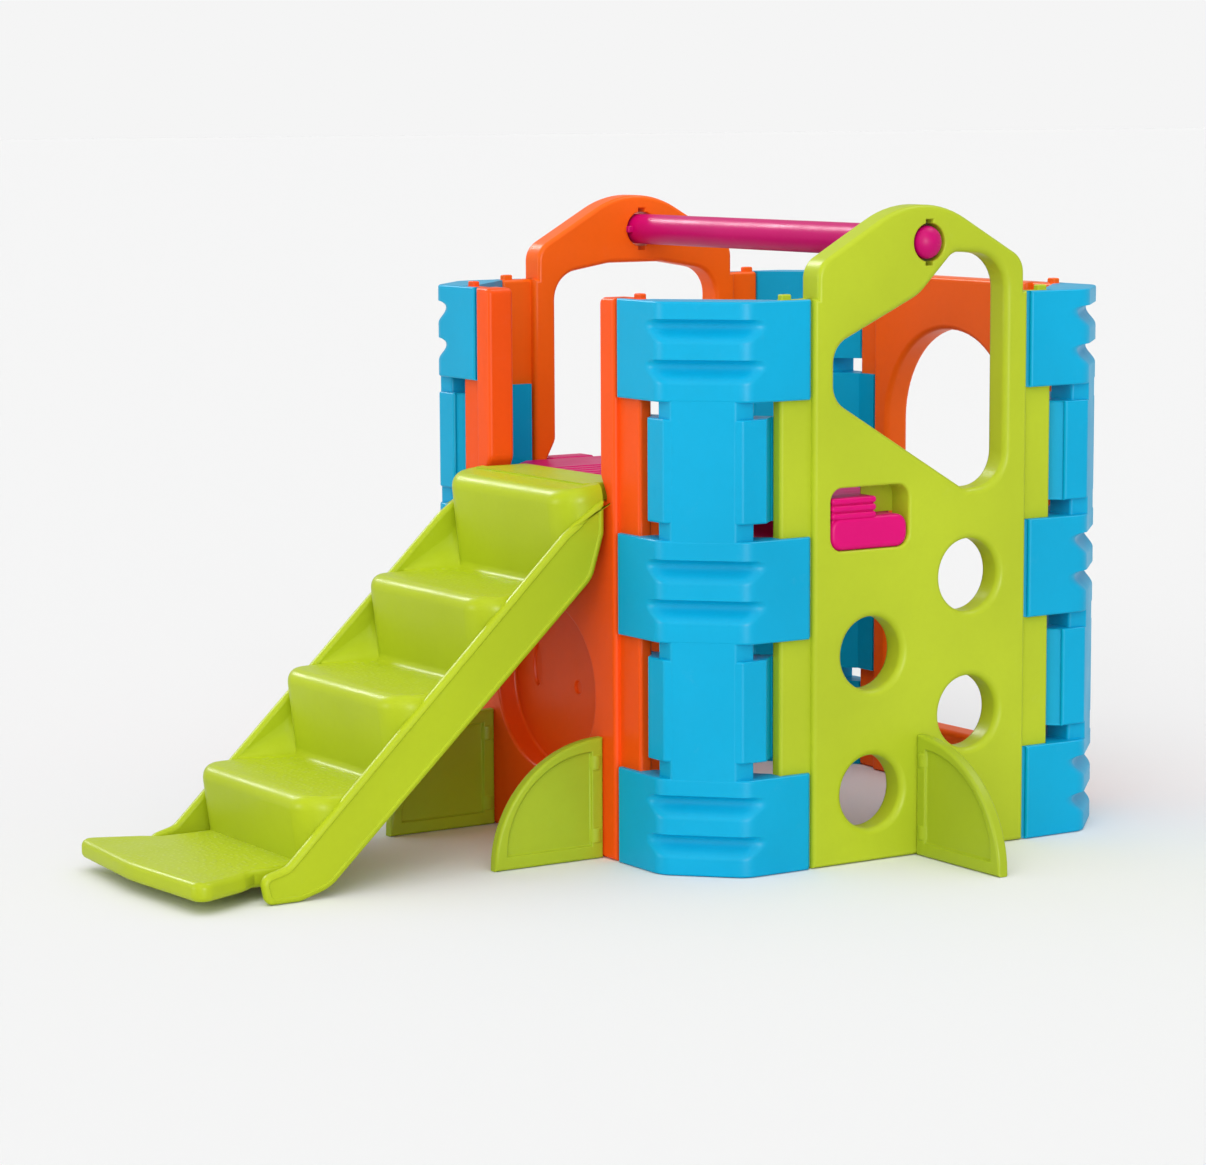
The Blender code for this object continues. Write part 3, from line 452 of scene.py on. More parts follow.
def sink(work, place, cut, level, direction):
    """Sink a cut from a flat face at a level; returns its loop on that face."""
    rings = []
    for angle in quarter_arc():
        outline = inset(cut.outline, -cut.edge * (1 - sin(angle)))
        rings.append((outline, level - direction * cut.edge * (1 - cos(angle))))
    floor = level - direction * cut.depth
    for angle in quarter_arc():
        outline = inset(cut.outline, cut.floor_edge * (1 - cos(angle)))
        rings.append((outline, floor + direction * cut.floor_edge * (1 - sin(angle))))
    top, bottom = add_rings(work, place, rings)
    inner = [sink(work, place, deeper, floor, direction) for deeper in cut.cuts]
    fill_flat(work, [bottom] + inner)
    return top


def add_slab(work, plane, rim, low, high, edge, cuts=()):
    """A slab between two levels with rounded edges, holes and sunk places."""
    place = PLANES[plane]
    lows, highs = [], []
    borders = [(rim, edge, 1.0)]
    borders += [(cut.outline, cut.edge, -1.0) for cut in cuts if cut.depth is None]
    for outline, rounding, side in borders:
        rings = []
        for angle in quarter_arc():
            ring = inset(outline, side * rounding * (1 - sin(angle)))
            rings.append((ring, low + rounding * (1 - cos(angle))))
        for angle in quarter_arc():
            ring = inset(outline, side * rounding * (1 - cos(angle)))
            rings.append((ring, high - rounding * (1 - sin(angle))))
        first, last = add_rings(work, place, rings)
        lows.append(first)
        highs.append(last)
    for cut in cuts:
        if cut.depth is not None:
            if cut.from_high:
                highs.append(sink(work, place, cut, high, 1.0))
            else:
                lows.append(sink(work, place, cut, low, -1.0))
    fill_flat(work, lows)
    fill_flat(work, highs)


def add_box(work, low, high, edge):
    """A box between two corners, in any order, with rounded edges and corners."""
    lows = [min(pair) for pair in zip(low, high)]
    highs = [max(pair) for pair in zip(low, high)]
    rim = rectangle(lows[:2], highs[:2], edge * BOX_CORNER_SHARE)
    add_slab(work, "XY", rim, lows[2], highs[2], edge)


def add_loft(work, sections):
    """A closed solid through sections with the same number of points."""
    loops = [[work.verts.new(point) for point in section] for section in sections]
    skin(work, loops)
    fill_flat(work, [loops[0]])
    fill_flat(work, [loops[-1]])


def make_piece(name, work, material, body, node, turn=0.0, place=(0.0, 0.0, 0.0)):
    """Turn an open bmesh into a finished piece that stands for a node of the frame."""
    bmesh.ops.recalc_face_normals(work, faces=work.faces)
    mesh = bpy.data.meshes.new(name)
    work.to_mesh(mesh)
    work.free()
    mesh.transform(Matrix.Translation(CENTRE + Vector(place)) @ Matrix.Rotation(turn, 4, "Z"))
    mesh.materials.append(material)
    mesh.polygons.foreach_set("use_smooth", [True] * len(mesh.polygons))
    mesh.set_sharp_from_angle(angle=radians(SHARP_ANGLE))
    piece = bpy.data.objects.new(name, mesh)
    bpy.context.scene.collection.objects.link(piece)
    weighted = piece.modifiers.new("weighted_normals", "WEIGHTED_NORMAL")
    weighted.keep_sharp = True
    weighted.weight = 100
    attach(piece, body)
    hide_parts(node)


# Materials: noises are (scale, detail, roughness), ranges are (from, to)

GLOSS = 0.12
REFRACTION = 1.5
ROUGHNESS_NOISE = (9.0, 5.0, 0.6)
ROUGHNESS_RANGE = (0.33, 0.45)
DRIFT_NOISE = (2.6, 2.0, 0.5)
DRIFT_TINTS = (0.94, 1.05)
MOTTLE_NOISE = (55.0, 4.0, 0.65)
MOTTLE_TINT = 0.82
MOTTLE_SHARE = 0.12
SCUFF_NOISE = (21.0, 6.0, 0.75)
SCUFF_AND_GLINT_WHITE = 0.22
SCUFF_SHARE = 0.045
WAVE_NOISE = (5.5, 1.0, 0.5)
WAVE_BUMP = (0.25, 0.010)
PEEL_NOISE = (420.0, 2.0, 0.5)
PEEL_BUMP = (0.10, 0.0006)
# Painted top light: upward faces of the steps get a lighter copy of their colour
TREAD_SLOPE = (0.90, 0.985)
PAINTED_TOP_LIGHT_TINT = 1.16
PAINTED_TOP_LIGHT_SHARE = 0.6
# Grit on the treads: a real bump texture, with its dots painted whiter as painted glints
GRIT_SCALE = 72.0
GRIT_RANDOMNESS = 0.6
GRIT_RIM = (0.14, 0.34)
PAINTED_GLINT_SHARE = 0.32
GRIT_BUMP = (0.55, 0.0012)


def tinted(colour, factor):
    return tuple(min(channel * factor, 1.0) for channel in colour)


def plastic(name, colour, grit_and_painted_top_light=False):
    """Satin moulded polyethylene: soft colour drift, scattered scuffs, fine orange peel; with the flag,
    grit with painted glints and painted top light on upward faces.
    """
    material = bpy.data.materials.new(name)
    material.use_nodes = True
    tree = material.node_tree
    nodes = tree.nodes
    link = tree.links.new
    shader = nodes["Principled BSDF"]

    def add(kind, **settings):
        node = nodes.new(kind)
        for key, value in settings.items():
            setattr(node, key, value)
        return node

    def noise(scale, detail, rough):
        texture = add("ShaderNodeTexNoise")
        link(coords.outputs["Object"], texture.inputs["Vector"])
        texture.inputs["Scale"].default_value = scale
        texture.inputs["Detail"].default_value = detail
        texture.inputs["Roughness"].default_value = rough
        return texture.outputs["Fac"]

    def remap(value, source, target):
        node = add("ShaderNodeMapRange")
        link(value, node.inputs["Value"])
        for socket, number in zip(("From Min", "From Max", "To Min", "To Max"), source + target):
            node.inputs[socket].default_value = number
        return node.outputs["Result"]

    def blend(factor, first, second):
        node = add("ShaderNodeMix", data_type="RGBA")
        link(factor, node.inputs["Factor"])
        for socket, value in ((node.inputs["A"], first), (node.inputs["B"], second)):
            if isinstance(value, tuple):
                socket.default_value = (*value, 1.0)
            else:
                link(value, socket)
        return node.outputs["Result"]

    def multiply(first, second):
        node = add("ShaderNodeMath", operation="MULTIPLY")
        link(first, node.inputs[0])
        if isinstance(second, float):
            node.inputs[1].default_value = second
        else:
            link(second, node.inputs[1])
        return node.outputs["Value"]

    def bump(height, strength, distance, below=None):
        node = add("ShaderNodeBump")
        link(height, node.inputs["Height"])
        node.inputs["Strength"].default_value = strength
        node.inputs["Distance"].default_value = distance
        if below is not None:
            link(below, node.inputs["Normal"])
        return node.outputs["Normal"]

    coords = add("ShaderNodeTexCoord")
    # Whitened colour, used both for random scuffs and for the painted glints on the grit dots
    scuff_and_glint_colour = tuple(channel + SCUFF_AND_GLINT_WHITE * (1.0 - channel) for channel in colour)
    drift = remap(noise(*DRIFT_NOISE), (0.35, 0.65), (0.0, 1.0))
    base = blend(drift, *(tinted(colour, factor) for factor in DRIFT_TINTS))
    mottle = remap(noise(*MOTTLE_NOISE), (0.42, 0.72), (0.0, MOTTLE_SHARE))
    base = blend(mottle, base, tinted(colour, MOTTLE_TINT))
    rubbed = remap(noise(*SCUFF_NOISE), (0.60, 0.74), (0.0, SCUFF_SHARE))
    base = blend(rubbed, base, scuff_and_glint_colour)

    roughness = remap(noise(*ROUGHNESS_NOISE), (0.3, 0.7), ROUGHNESS_RANGE)
    normal = bump(noise(*WAVE_NOISE), *WAVE_BUMP)
    normal = bump(noise(*PEEL_NOISE), *PEEL_BUMP, normal)
    # With the flag: a grit texture with painted glints, and painted top light on upward faces
    if grit_and_painted_top_light:
        geometry = add("ShaderNodeNewGeometry")
        split = add("ShaderNodeSeparateXYZ")
        link(geometry.outputs["Normal"], split.inputs["Vector"])
        flat = remap(split.outputs["Z"], TREAD_SLOPE, (0.0, 1.0))
        dots = add("ShaderNodeTexVoronoi")
        link(coords.outputs["Object"], dots.inputs["Vector"])
        dots.inputs["Scale"].default_value = GRIT_SCALE
        dots.inputs["Randomness"].default_value = GRIT_RANDOMNESS
        grit_and_glint = multiply(flat, remap(dots.outputs["Distance"], GRIT_RIM, (1.0, 0.0)))
        # Painted top light: upward-facing faces blend towards a lighter copy of the colour
        base = blend(multiply(flat, PAINTED_TOP_LIGHT_SHARE), base, tinted(colour, PAINTED_TOP_LIGHT_TINT))
        # Painted glints: grit dots blend towards the whitened colour
        base = blend(multiply(grit_and_glint, PAINTED_GLINT_SHARE), base, scuff_and_glint_colour)
        normal = bump(grit_and_glint, *GRIT_BUMP, normal)
    link(base, shader.inputs["Base Color"])
    link(roughness, shader.inputs["Roughness"])
    link(normal, shader.inputs["Normal"])
    shader.inputs["IOR"].default_value = REFRACTION
    shader.inputs["Specular IOR Level"].default_value = GLOSS
    return material


FOOT_GREEN = plastic("green_feet", (0.38, 0.48, 0.022))
GREEN = plastic("green_moulding", (0.465, 0.565, 0.024))
# The steps carry painted top light and painted glints on their grit
STEP_GREEN = plastic("green_steps", (0.44, 0.54, 0.014), grit_and_painted_top_light=True)
BLUE = plastic("blue_moulding", (0.0, 0.385, 0.655))
RED_ORANGE = plastic("red_orange_moulding", (0.93, 0.090, 0.004))
ORANGE = plastic("orange_moulding", (0.95, 0.135, 0.004))
MAGENTA = plastic("magenta_moulding", (0.70, 0.0, 0.17))
BAR_MAGENTA = plastic("magenta_bar", (0.57, 0.0, 0.15))
DOOR_ORANGE = plastic("door_moulding", (0.96, 0.135, 0.006))


# Walls

def wall_solid(rim, cuts):
    """A wall drawn facing -Y: a rounded panel with a recessed tongue down each side."""
    work = bmesh.new()
    add_slab(work, "XZ", rim, WALL_INNER, HALF, WALL_ROUND, cuts)
    for side in (-1, 1):
        root = side * (PANEL_HALF - 2 * WALL_ROUND)
        tip = side * TONGUE_END
        add_box(work, (root, -TONGUE_OUTER, 0.0), (tip, -TONGUE_INNER, POST_HEIGHT), TONGUE_ROUND)
        lug_root = side * (TONGUE_END - TONGUE_THICKNESS)
        lug_tip = side * (TONGUE_END - TONGUE_ROUND)
        lug_top = POST_HEIGHT + LUG_HEIGHT
        lug_low = (lug_root, -TONGUE_OUTER + TONGUE_ROUND, POST_HEIGHT - LUG_HEIGHT)
        add_box(work, lug_low, (lug_tip, -TONGUE_INNER - TONGUE_ROUND, lug_top), LUG_ROUND)
    return work


def bar_keyhole(middle):
    """Round hole with a keyway above and below, for the bar's lugs."""
    radius = BAR_RADIUS + KEYHOLE_MARGIN
    half = BAR_LUG_WIDTH / 2 + BAR_CLEARANCE
    reach = BAR_RADIUS + BAR_LUG_REACH + BAR_CLEARANCE
    edge = acos(half / radius)
    steps = 20
    arc = [-edge + 2 * edge * step / steps for step in range(steps + 1)]
    right = [(radius * cos(angle), radius * sin(angle)) for angle in arc] + [(half, reach)]
    left = [(-x, -y) for x, y in right]
    right.insert(0, (half, -reach))
    left.insert(0, (-half, reach))
    return [(x + middle, y + BAR_HEIGHT) for x, y in right + left]


def beam_slot():
    """Opening of the climbing wall in which the end of the deck's beam shows."""
    lower = [(SLOT_LEFT, SLOT_BOTTOM), (SLOT_RIGHT, SLOT_BOTTOM)]
    upper = [(SLOT_RIGHT, SLOT_TOP), (SLOT_LEFT, SLOT_TOP)]
    return fillet([(x, z, SLOT_RADIUS) for x, z in lower + upper])


def gable_rim():
    """Outline of a tall wall with a rounded head, from the floor up."""
    side = [
        (PANEL_HALF, 0.0, 0.0),
        (PANEL_HALF, POST_HEIGHT, 0.0),
        (GABLE_HALF_WIDTH, POST_HEIGHT, 0.0),
        (GABLE_HALF_WIDTH, GABLE_SHOULDER, GABLE_SHOULDER_RADIUS),
    ]
    corners = mirrored(side)
    corners.insert(len(side), (0.0, GABLE_PEAK, GABLE_PEAK_RADIUS))
    return fillet(corners, WALL_ARC_STEPS)


def gate_side(top):
    """Right side of the gate and of the arch: a flare over the sill, then a straight jamb."""
    flare = GATE_HALF_WIDTH + GATE_FLARE
    return [
        (flare, GATE_SILL, 0.0),
        (flare, GATE_SILL + GATE_FLARE_HEIGHT / 4, GATE_FLARE_ROUND),
        (GATE_HALF_WIDTH, GATE_SILL + GATE_FLARE_HEIGHT, GATE_JAMB_ROUND),
    ] + top


def climbing_wall():
    """The wall with the leaf-shaped opening, the beam's slot and round holds."""
    cuts = [
        Cut(fillet(LEAF_CORNERS, WALL_ARC_STEPS), LEAF_ROUND),
        Cut(beam_slot(), SLOT_EDGE),
        Cut(bar_keyhole(BAR_OFFSET), KEYHOLE_EDGE),
    ]
    for index in range(HOLD_COUNT):
        x = HOLD_SIDE if index % 2 else -HOLD_SIDE
        hold = ellipse(x, HOLD_FIRST + HOLD_PITCH * index, HOLD_RADIUS, HOLD_RADIUS)
        cuts.append(Cut(hold, HOLD_ROUND))
    work = wall_solid(gable_rim(), cuts)
    back = -WALL_INNER - TOUCH_GAP
    front = back - SLOT_PLATE_THICKNESS
    plate_low = (SLOT_RIGHT - BEAM_STEP - SEAM, front, SLOT_BOTTOM + BEAM_HEIGHT)
    plate_high = (SLOT_RIGHT + SLOT_PLATE_LAP, back, SLOT_TOP + SLOT_PLATE_LAP)
    add_box(work, plate_low, plate_high, SLOT_PLATE_EDGE)
    return work


def arch_wall():
    """The wall opposite the climbing wall; the beam lies in a notch of its sill."""
    crown = [
        (GATE_HALF_WIDTH, ARCH_TOP - ARCH_SHOULDER_DROP, ARCH_SHOULDER_RADIUS),
        (GATE_HALF_WIDTH / 3, ARCH_TOP, ARCH_TOP_RADIUS),
    ]
    notch = [
        (-SLOT_RIGHT, GATE_SILL, 0.0),
        (-SLOT_RIGHT, SLOT_BOTTOM, SLOT_RADIUS),
        (-SLOT_LEFT, SLOT_BOTTOM, SLOT_RADIUS),
        (-SLOT_LEFT, GATE_SILL, 0.0),
    ]
    arch = fillet(mirrored(gate_side(crown)) + notch)
    cuts = [Cut(arch, ARCH_EDGE), Cut(bar_keyhole(-BAR_OFFSET), KEYHOLE_EDGE)]
    return wall_solid(gable_rim(), cuts)


def door_wall():
    """The wall with the round-headed doorway over a low sill."""
    rim = mirrored([(PANEL_HALF, 0.0), (PANEL_HALF, POST_HEIGHT)])
    side = [
        (DOOR_HALF_WIDTH, DOOR_SILL, DOOR_SILL_RADIUS),
        (DOOR_HALF_WIDTH, DOOR_TOP, DOOR_RADIUS),
    ]
    return wall_solid(rim, [Cut(fillet(mirrored(side), DOOR_ARC_STEPS), DOOR_EDGE)])


def ramp_wall():
    """The wall that carries the ramp: a gate, open at the top, over a sunk panel."""
    jamb = gate_side([(GATE_HALF_WIDTH, POST_HEIGHT, GATE_TOP_ROUND)])
    side = [(PANEL_HALF, 0.0, 0.0), (PANEL_HALF, POST_HEIGHT, 0.0)] + list(reversed(jamb))
    slot = ellipse(*RECESS_SLOT, 28)
    dimple = ellipse(*RECESS_DIMPLE, 24)
    details = [
        Cut(slot, RECESS_SLOT_EDGE, RECESS_SLOT_DEPTH, floor_edge=RECESS_DETAIL_FLOOR),
        Cut(dimple, RECESS_DIMPLE_EDGE, RECESS_DIMPLE_DEPTH, floor_edge=RECESS_DETAIL_FLOOR),
    ]
    oval = ellipse(0.0, RECESS_CENTRE, RECESS_HALF_WIDTH, RECESS_HALF_HEIGHT, 72)
    recess = Cut(oval, RECESS_EDGE, RECESS_DEPTH, floor_edge=RECESS_EDGE, cuts=details)
    return wall_solid(fillet(mirrored(side)), [recess])


# Posts

def quarter_levels(bottom, top):
    """Heights of a block with rounded lower and upper edges, as (z, shrink)."""
    edge = BAND_EDGE
    lower = [(bottom + edge * (1 - cos(angle)), edge * (1 - sin(angle))) for angle in quarter_arc()]
    upper = [(top - edge * (1 - sin(angle)), edge * (1 - cos(angle))) for angle in quarter_arc()]
    return lower, upper


def band_outline(shrink, depth):
    """Plan of a wrap band round the +X +Y corner, with a lap over each wall's tongue."""
    end = BAND_END + shrink
    face = HALF - shrink
    bend = HALF + BEND - (shrink + depth) * sqrt(2) - face
    tip = max(BAND_ROUND - shrink, SMALLEST_ROUND)
    outer = [(end, face, tip), (bend, face, BEND_RADIUS), (face, bend, BEND_RADIUS), (face, end, tip)]
    inner = [
        (CORE_FACE, end),
        (CORE_FACE, POST_STOP),
        (STRIP_OUTER, POST_STOP),
        (POST_STOP, STRIP_OUTER),
        (POST_STOP, CORE_FACE),
        (end, CORE_FACE),
    ]
    return fillet(outer, POST_ARC_STEPS) + inner


def groove_profile():
    """Height and depth along one groove: a long slope below, a short one under the top edge."""
    profile = []
    steps = 9
    for step in range(steps + 1):
        share = step / steps
        profile.append((GROOVE_START + GROOVE_LONG_SLOPE * share, 0.5 - 0.5 * cos(pi * share)))
    return profile + list(GROOVE_TOP)


def add_band(work, bottom, top):
    """A wrap band with rounded edges and two grooves round its front."""
    middle = (bottom + top) / 2
    lower, upper = quarter_levels(bottom, top)
    levels = [(z, shrink, 0.0) for z, shrink in lower]
    for centre in (middle - GROOVE_OFFSET, middle + GROOVE_OFFSET):
        for share, depth in groove_profile():
            levels.append((centre + share * GROOVE_HEIGHT, 0.0, depth * GROOVE_DEPTH))
    levels += [(z, shrink, 0.0) for z, shrink in upper]
    add_loft(work, [[(x, y, z) for x, y in band_outline(shrink, depth)] for z, shrink, depth in levels])


def filler_outline(shrink):
    """Plan of the block between two bands, with strips behind the wall tongues."""
    face = FILLER_FACE - shrink
    tab = TAB_END + TAB_SHIFT + shrink
    bend = HALF + BEND - (SEAM + shrink) * sqrt(2) - face
    tip = max(BAND_ROUND - shrink, SMALLEST_ROUND)
    lap = BAND_END + BAND_ROUND
    strip_bend = POST_STOP - STRIP_THICKNESS
    outer = [(tab, face, tip), (bend, face, FILLER_BEND), (face, bend, FILLER_BEND), (face, tab, tip)]
    inner = [
        (STRIP_OUTER, POST_STOP),
        (STRIP_OUTER, lap),
        (STRIP_INNER, lap),
        (STRIP_INNER, strip_bend),
        (strip_bend, STRIP_INNER),
        (lap, STRIP_INNER),
        (lap, STRIP_OUTER),
        (POST_STOP, STRIP_OUTER),
    ]
    return fillet(outer, POST_ARC_STEPS) + inner


def column_outline():
    """Plan of the slimmer core that shows in the notches above and below the block."""
    bend = HALF + BEND - COLUMN_PROUD - COLUMN_FACE
    corners = [
        (COLUMN_END, COLUMN_FACE, COLUMN_END_ROUND),
        (bend, COLUMN_FACE, FILLER_BEND),
        (COLUMN_FACE, bend, FILLER_BEND),
        (COLUMN_FACE, COLUMN_END, COLUMN_END_ROUND),
        (COLUMN_INNER, COLUMN_END, COLUMN_INNER_ROUND),
        (COLUMN_END, COLUMN_INNER, COLUMN_INNER_ROUND),
    ]
    return fillet(corners, POST_ARC_STEPS)


def corner_post():
    """A post with three wrap bands and a notched block between each two of them."""
    work = bmesh.new()
    for bottom, top in BANDS:
        add_band(work, bottom, top)
    for (_, bottom), (top, _) in zip(BANDS, BANDS[1:]):
        core_levels = (bottom - BAND_ROUND, top + BAND_ROUND)
        add_loft(work, [[(x, y, z) for x, y in column_outline()] for z in core_levels])
        lower, upper = quarter_levels(bottom + NOTCH_HEIGHT, top - NOTCH_HEIGHT)
        add_loft(work, [[(x, y, z) for x, y in filler_outline(shrink)] for z, shrink in lower + upper])
    return work


# Deck and bar

def deck():
    """Half deck with ribs along it, on a beam whose ends show in the tall walls' slots."""
    work = bmesh.new()
    side = WALL_INNER - FIT_GAP
    corner = STRIP_INNER - (side - POST_STOP) - FIT_GAP
    bend = DECK_FRONT + side - corner
    plan = [(-corner, DECK_FRONT), (corner, DECK_FRONT), (side, bend), (side, DECK_BACK)]
    plan += [(-side, DECK_BACK), (-side, bend)]
    outline = fillet([(x, y, DECK_CORNER_RADIUS) for x, y in plan], SIDE_ARC_STEPS)
    floor = DECK_TOP - DECK_RIB_HEIGHT
    add_slab(work, "XY", outline, DECK_TOP - DECK_THICKNESS, floor, DECK_ROUND)
    count = int((corner - DECK_RIB_PITCH) / DECK_RIB_PITCH)
    for index in range(-count, count + 1):
        x = index * DECK_RIB_PITCH
        low = (x - DECK_RIB_WIDTH / 2, DECK_FRONT + DECK_RIB_END, floor - DECK_RIB_HEIGHT)
        high = (x + DECK_RIB_WIDTH / 2, DECK_BACK - DECK_RIB_END, DECK_TOP)
        add_box(work, low, high, DECK_RIB_EDGE)
    left = SLOT_LEFT + BEAM_SIDE_GAP
    right = SLOT_RIGHT - BEAM_SIDE_GAP
    bottom = SLOT_BOTTOM + TOUCH_GAP
    top = bottom + BEAM_HEIGHT
    radius = SLOT_RADIUS - BEAM_SIDE_GAP
    beam = [(left, bottom), (right, bottom), (right, top), (left, top)]
    end = HALF - BEAM_SIDE_GAP
    add_slab(work, "YZ", fillet([(y, z, radius) for y, z in beam]), -end, end, BEAM_EDGE)
    step = (DECK_TOP - top + BEAM_RIB_SINK) / BEAM_RIBS
    for side in (-1, 1):
        x = side * end
        inner = x - side * BEAM_RIB_REACH * WALL_THICKNESS
        for index in range(BEAM_RIBS):
            low = (inner, left + SEAM, top - BEAM_RIB_SINK + index * step)
            high = (x, right - BEAM_STEP, low[2] + step * BEAM_RIB_SHARE)
            add_box(work, low, high, BEAM_RIB_EDGE)
        core_low = (inner, left + BEAM_CORE_INSET, top - BEAM_CORE_SINK)
        core_y = right - BEAM_STEP - BEAM_CORE_INSET
        core_high = (x - side * BEAM_CORE_FACE, core_y, DECK_TOP - BEAM_CORE_DROP)
        add_box(work, core_low, core_high, BEAM_CORE_EDGE)
    return work


def overhead_bar():
    """Tube through both tall walls, with a domed end and a pair of lugs at each side."""
    work = bmesh.new()
    stations = []
    for side, end in ((-1, -HALF + BAR_INSET), (1, HALF + BAR_PROTRUSION)):
        dome = []
        for angle in quarter_arc(8):
            radius = max(BAR_RADIUS * cos(angle), BAR_TIP_RADIUS)
            dome.append((end - side * BAR_DOME * (1 - sin(angle)), radius))
        stations += dome if side > 0 else dome[::-1]
    sections = []
    for x, radius in stations:
        sections.append([(x, y, z) for y, z in ellipse(0.0, 0.0, radius, radius, 48)])
    add_loft(work, sections)
    far = WALL_INNER - BAR_LUG_CLEARANCE
    reach = BAR_RADIUS + BAR_LUG_REACH
    for side in (-1, 1):
        low = (side * (far - BAR_LUG_LENGTH), -reach, -BAR_LUG_WIDTH / 2)
        add_box(work, low, (side * far, reach, BAR_LUG_WIDTH / 2), BAR_LUG_EDGE)
    return work


# Ramp

def trim(work, lower, upper):
    """Cut off what lies under the plane through two points of the side view; close the cut."""
    (lower_y, lower_z), (upper_y, upper_z) = lower, upper
    everything = work.verts[:] + work.edges[:] + work.faces[:]
    cut = bmesh.ops.bisect_plane(
        work,
        geom=everything,
        plane_co=(0.0, lower_y, lower_z),
        plane_no=(0.0, upper_z - lower_z, lower_y - upper_y),
        clear_outer=True,
    )
    rim = [item for item in cut["geom_cut"] if isinstance(item, bmesh.types.BMEdge)]
    if rim:
        bmesh.ops.edgeloop_fill(work, edges=rim)


def add_step(work, nose, tread, foot, back, crown):
    """One step: corners rounded in plan, a leaning front, a soft nose and a filleted foot."""
    levels = [(foot - STEP_FOOT_LAP, -STEP_FOOT_ROUND)]
    for angle in quarter_arc(3):
        rise = STEP_FOOT_ROUND * (1 - cos(angle))
        levels.append((foot + rise, -STEP_FOOT_ROUND * (1 - sin(angle))))
    for angle in quarter_arc(STEP_SOFT_STEPS):
        levels.append((tread - NOSE_SOFTNESS * (1 - sin(angle)), NOSE_SOFTNESS * (1 - cos(angle))))
    sections = []
    for z, shrink in levels:
        share = (z - foot) / (tread - foot)
        front = nose + NOSE_OVERHANG * (1 - share) + shrink
        inward = max(shrink, 0.0)
        half = STEP_HALF_WIDTH - inward * NOSE_SIDE_SHARE
        radius = max(STEP_PLAN_RADIUS - inward, STEP_SMALLEST_RADIUS)
        corners = [(-half, back, 0.0), (half, back, 0.0), (half, front, radius), (-half, front, radius)]
        slope = crown * max(share, 0.0) / (back - nose)
        sections.append([(x, y, z + slope * (y - nose)) for x, y in fillet(corners, STEP_ARC_STEPS)])
    block = bmesh.new()
    add_loft(block, sections)
    bmesh.ops.recalc_face_normals(block, faces=block.faces)
    heel = (FIRST_NOSE + UNDERSIDE_HEEL[0], UNDERSIDE_HEEL[1])
    bend = (TOP_NOSE + UNDERSIDE_BACK[0], TOP_TREAD + UNDERSIDE_BACK[1])
    trim(block, heel, bend)
    trim(block, bend, (RAMP_FACE, GATE_SILL - NOSE_DROP))
    mesh = bpy.data.meshes.new("step")
    block.to_mesh(mesh)
    block.free()
    work.from_mesh(mesh)
    bpy.data.meshes.remove(mesh)


def rail_corners():
    """Side view of a rail, from its toe on the floor up to the wall and back."""
    end = RAMP_FACE - SEAM
    wall_end = [
        (end, GATE_SILL + RAIL_END_LAP, 0.0),
        (end, GATE_SILL - NOSE_DROP - RAIL_END_LAP, RAIL_END_RADIUS),
    ]
    upper = placed(RAIL_HEAD, TOP_NOSE, TOP_TREAD) + wall_end + placed(RAIL_BACK, TOP_NOSE, TOP_TREAD)
    return placed(RAIL_TOE, FIRST_NOSE, 0.0) + upper + placed(RAIL_HEEL, FIRST_NOSE, 0.0)


def floor_lip():
    """Plan of the plate in front of the lowest step, with a notch at each side."""
    side = [
        (LIP_HALF_WIDTH, LIP_END + LIP_BOW, LIP_CORNER_RADIUS),
        (LIP_NECK_HALF_WIDTH + LIP_NECK_FLARE, FIRST_NOSE - LIP_NOTCH_REACH, LIP_NECK_RADIUS),
        (LIP_NECK_HALF_WIDTH, FIRST_NOSE - LIP_NECK_REACH, 0.0),
        (LIP_NECK_HALF_WIDTH, FIRST_NOSE + 2 * NOSE_OVERHANG, 0.0),
    ]
    return fillet(mirrored(side) + [(0.0, LIP_END, LIP_BOW_RADIUS)], LIP_ARC_STEPS)


def landing_corners():
    """Side view of the ramp's top, through the gate, with a hook behind the sill."""
    hook_near = -WALL_INNER + HOOK_CLEARANCE
    hook_far = hook_near + HOOK_THICKNESS
    hook_foot = GATE_SILL - HOOK_DEPTH
    tip_bottom = LANDING_BOTTOM + LANDING_TIP_LIFT
    return [
        (RAMP_FACE - NOSE_RADIUS, LANDING_TOP, 0.0),
        (LANDING_END, LANDING_TOP, LANDING_TOP_ROUND),
        (LANDING_END, tip_bottom, LANDING_TIP_ROUND),
        (hook_far, tip_bottom, 0.0),
        (hook_far, hook_foot, HOOK_ROUND),
        (hook_near, hook_foot, HOOK_ROUND),
        (hook_near, LANDING_BOTTOM, 0.0),
        (RAMP_FACE - NOSE_RADIUS, LANDING_BOTTOM, 0.0),
    ]


def add_corner_blends(work, nose, tread):
    """Hollow curves, growing towards the riser, where a tread meets the rails."""
    steps = 12
    start = nose + BLEND_START
    riser = nose + STEP_RUN + NOSE_OVERHANG
    end = riser + STEP_PLAN_RADIUS
    wall = RAIL_INNER + SEAM
    for side in (-1, 1):
        sections = []
        for step in range(steps + 1):
            share = step / steps
            width = BLEND_TIP + BLEND_WIDTH * share
            height = BLEND_TIP + BLEND_HEIGHT * share
            y = start + (end - start) * share
            base = tread + max(0.0, y - riser) * STEP_RISE / STEP_RUN
            foot = RAIL_INNER - width
            angles = quarter_arc(STEP_SOFT_STEPS)
            curve = [(foot + width * cos(angle), base + height * (1 - sin(angle))) for angle in angles]
            bottom = [(foot, base - BLEND_SINK), (wall, base - BLEND_SINK), (wall, base + height)]
            sections.append([(side * x, y, z) for x, z in curve + bottom])
        add_loft(work, sections)


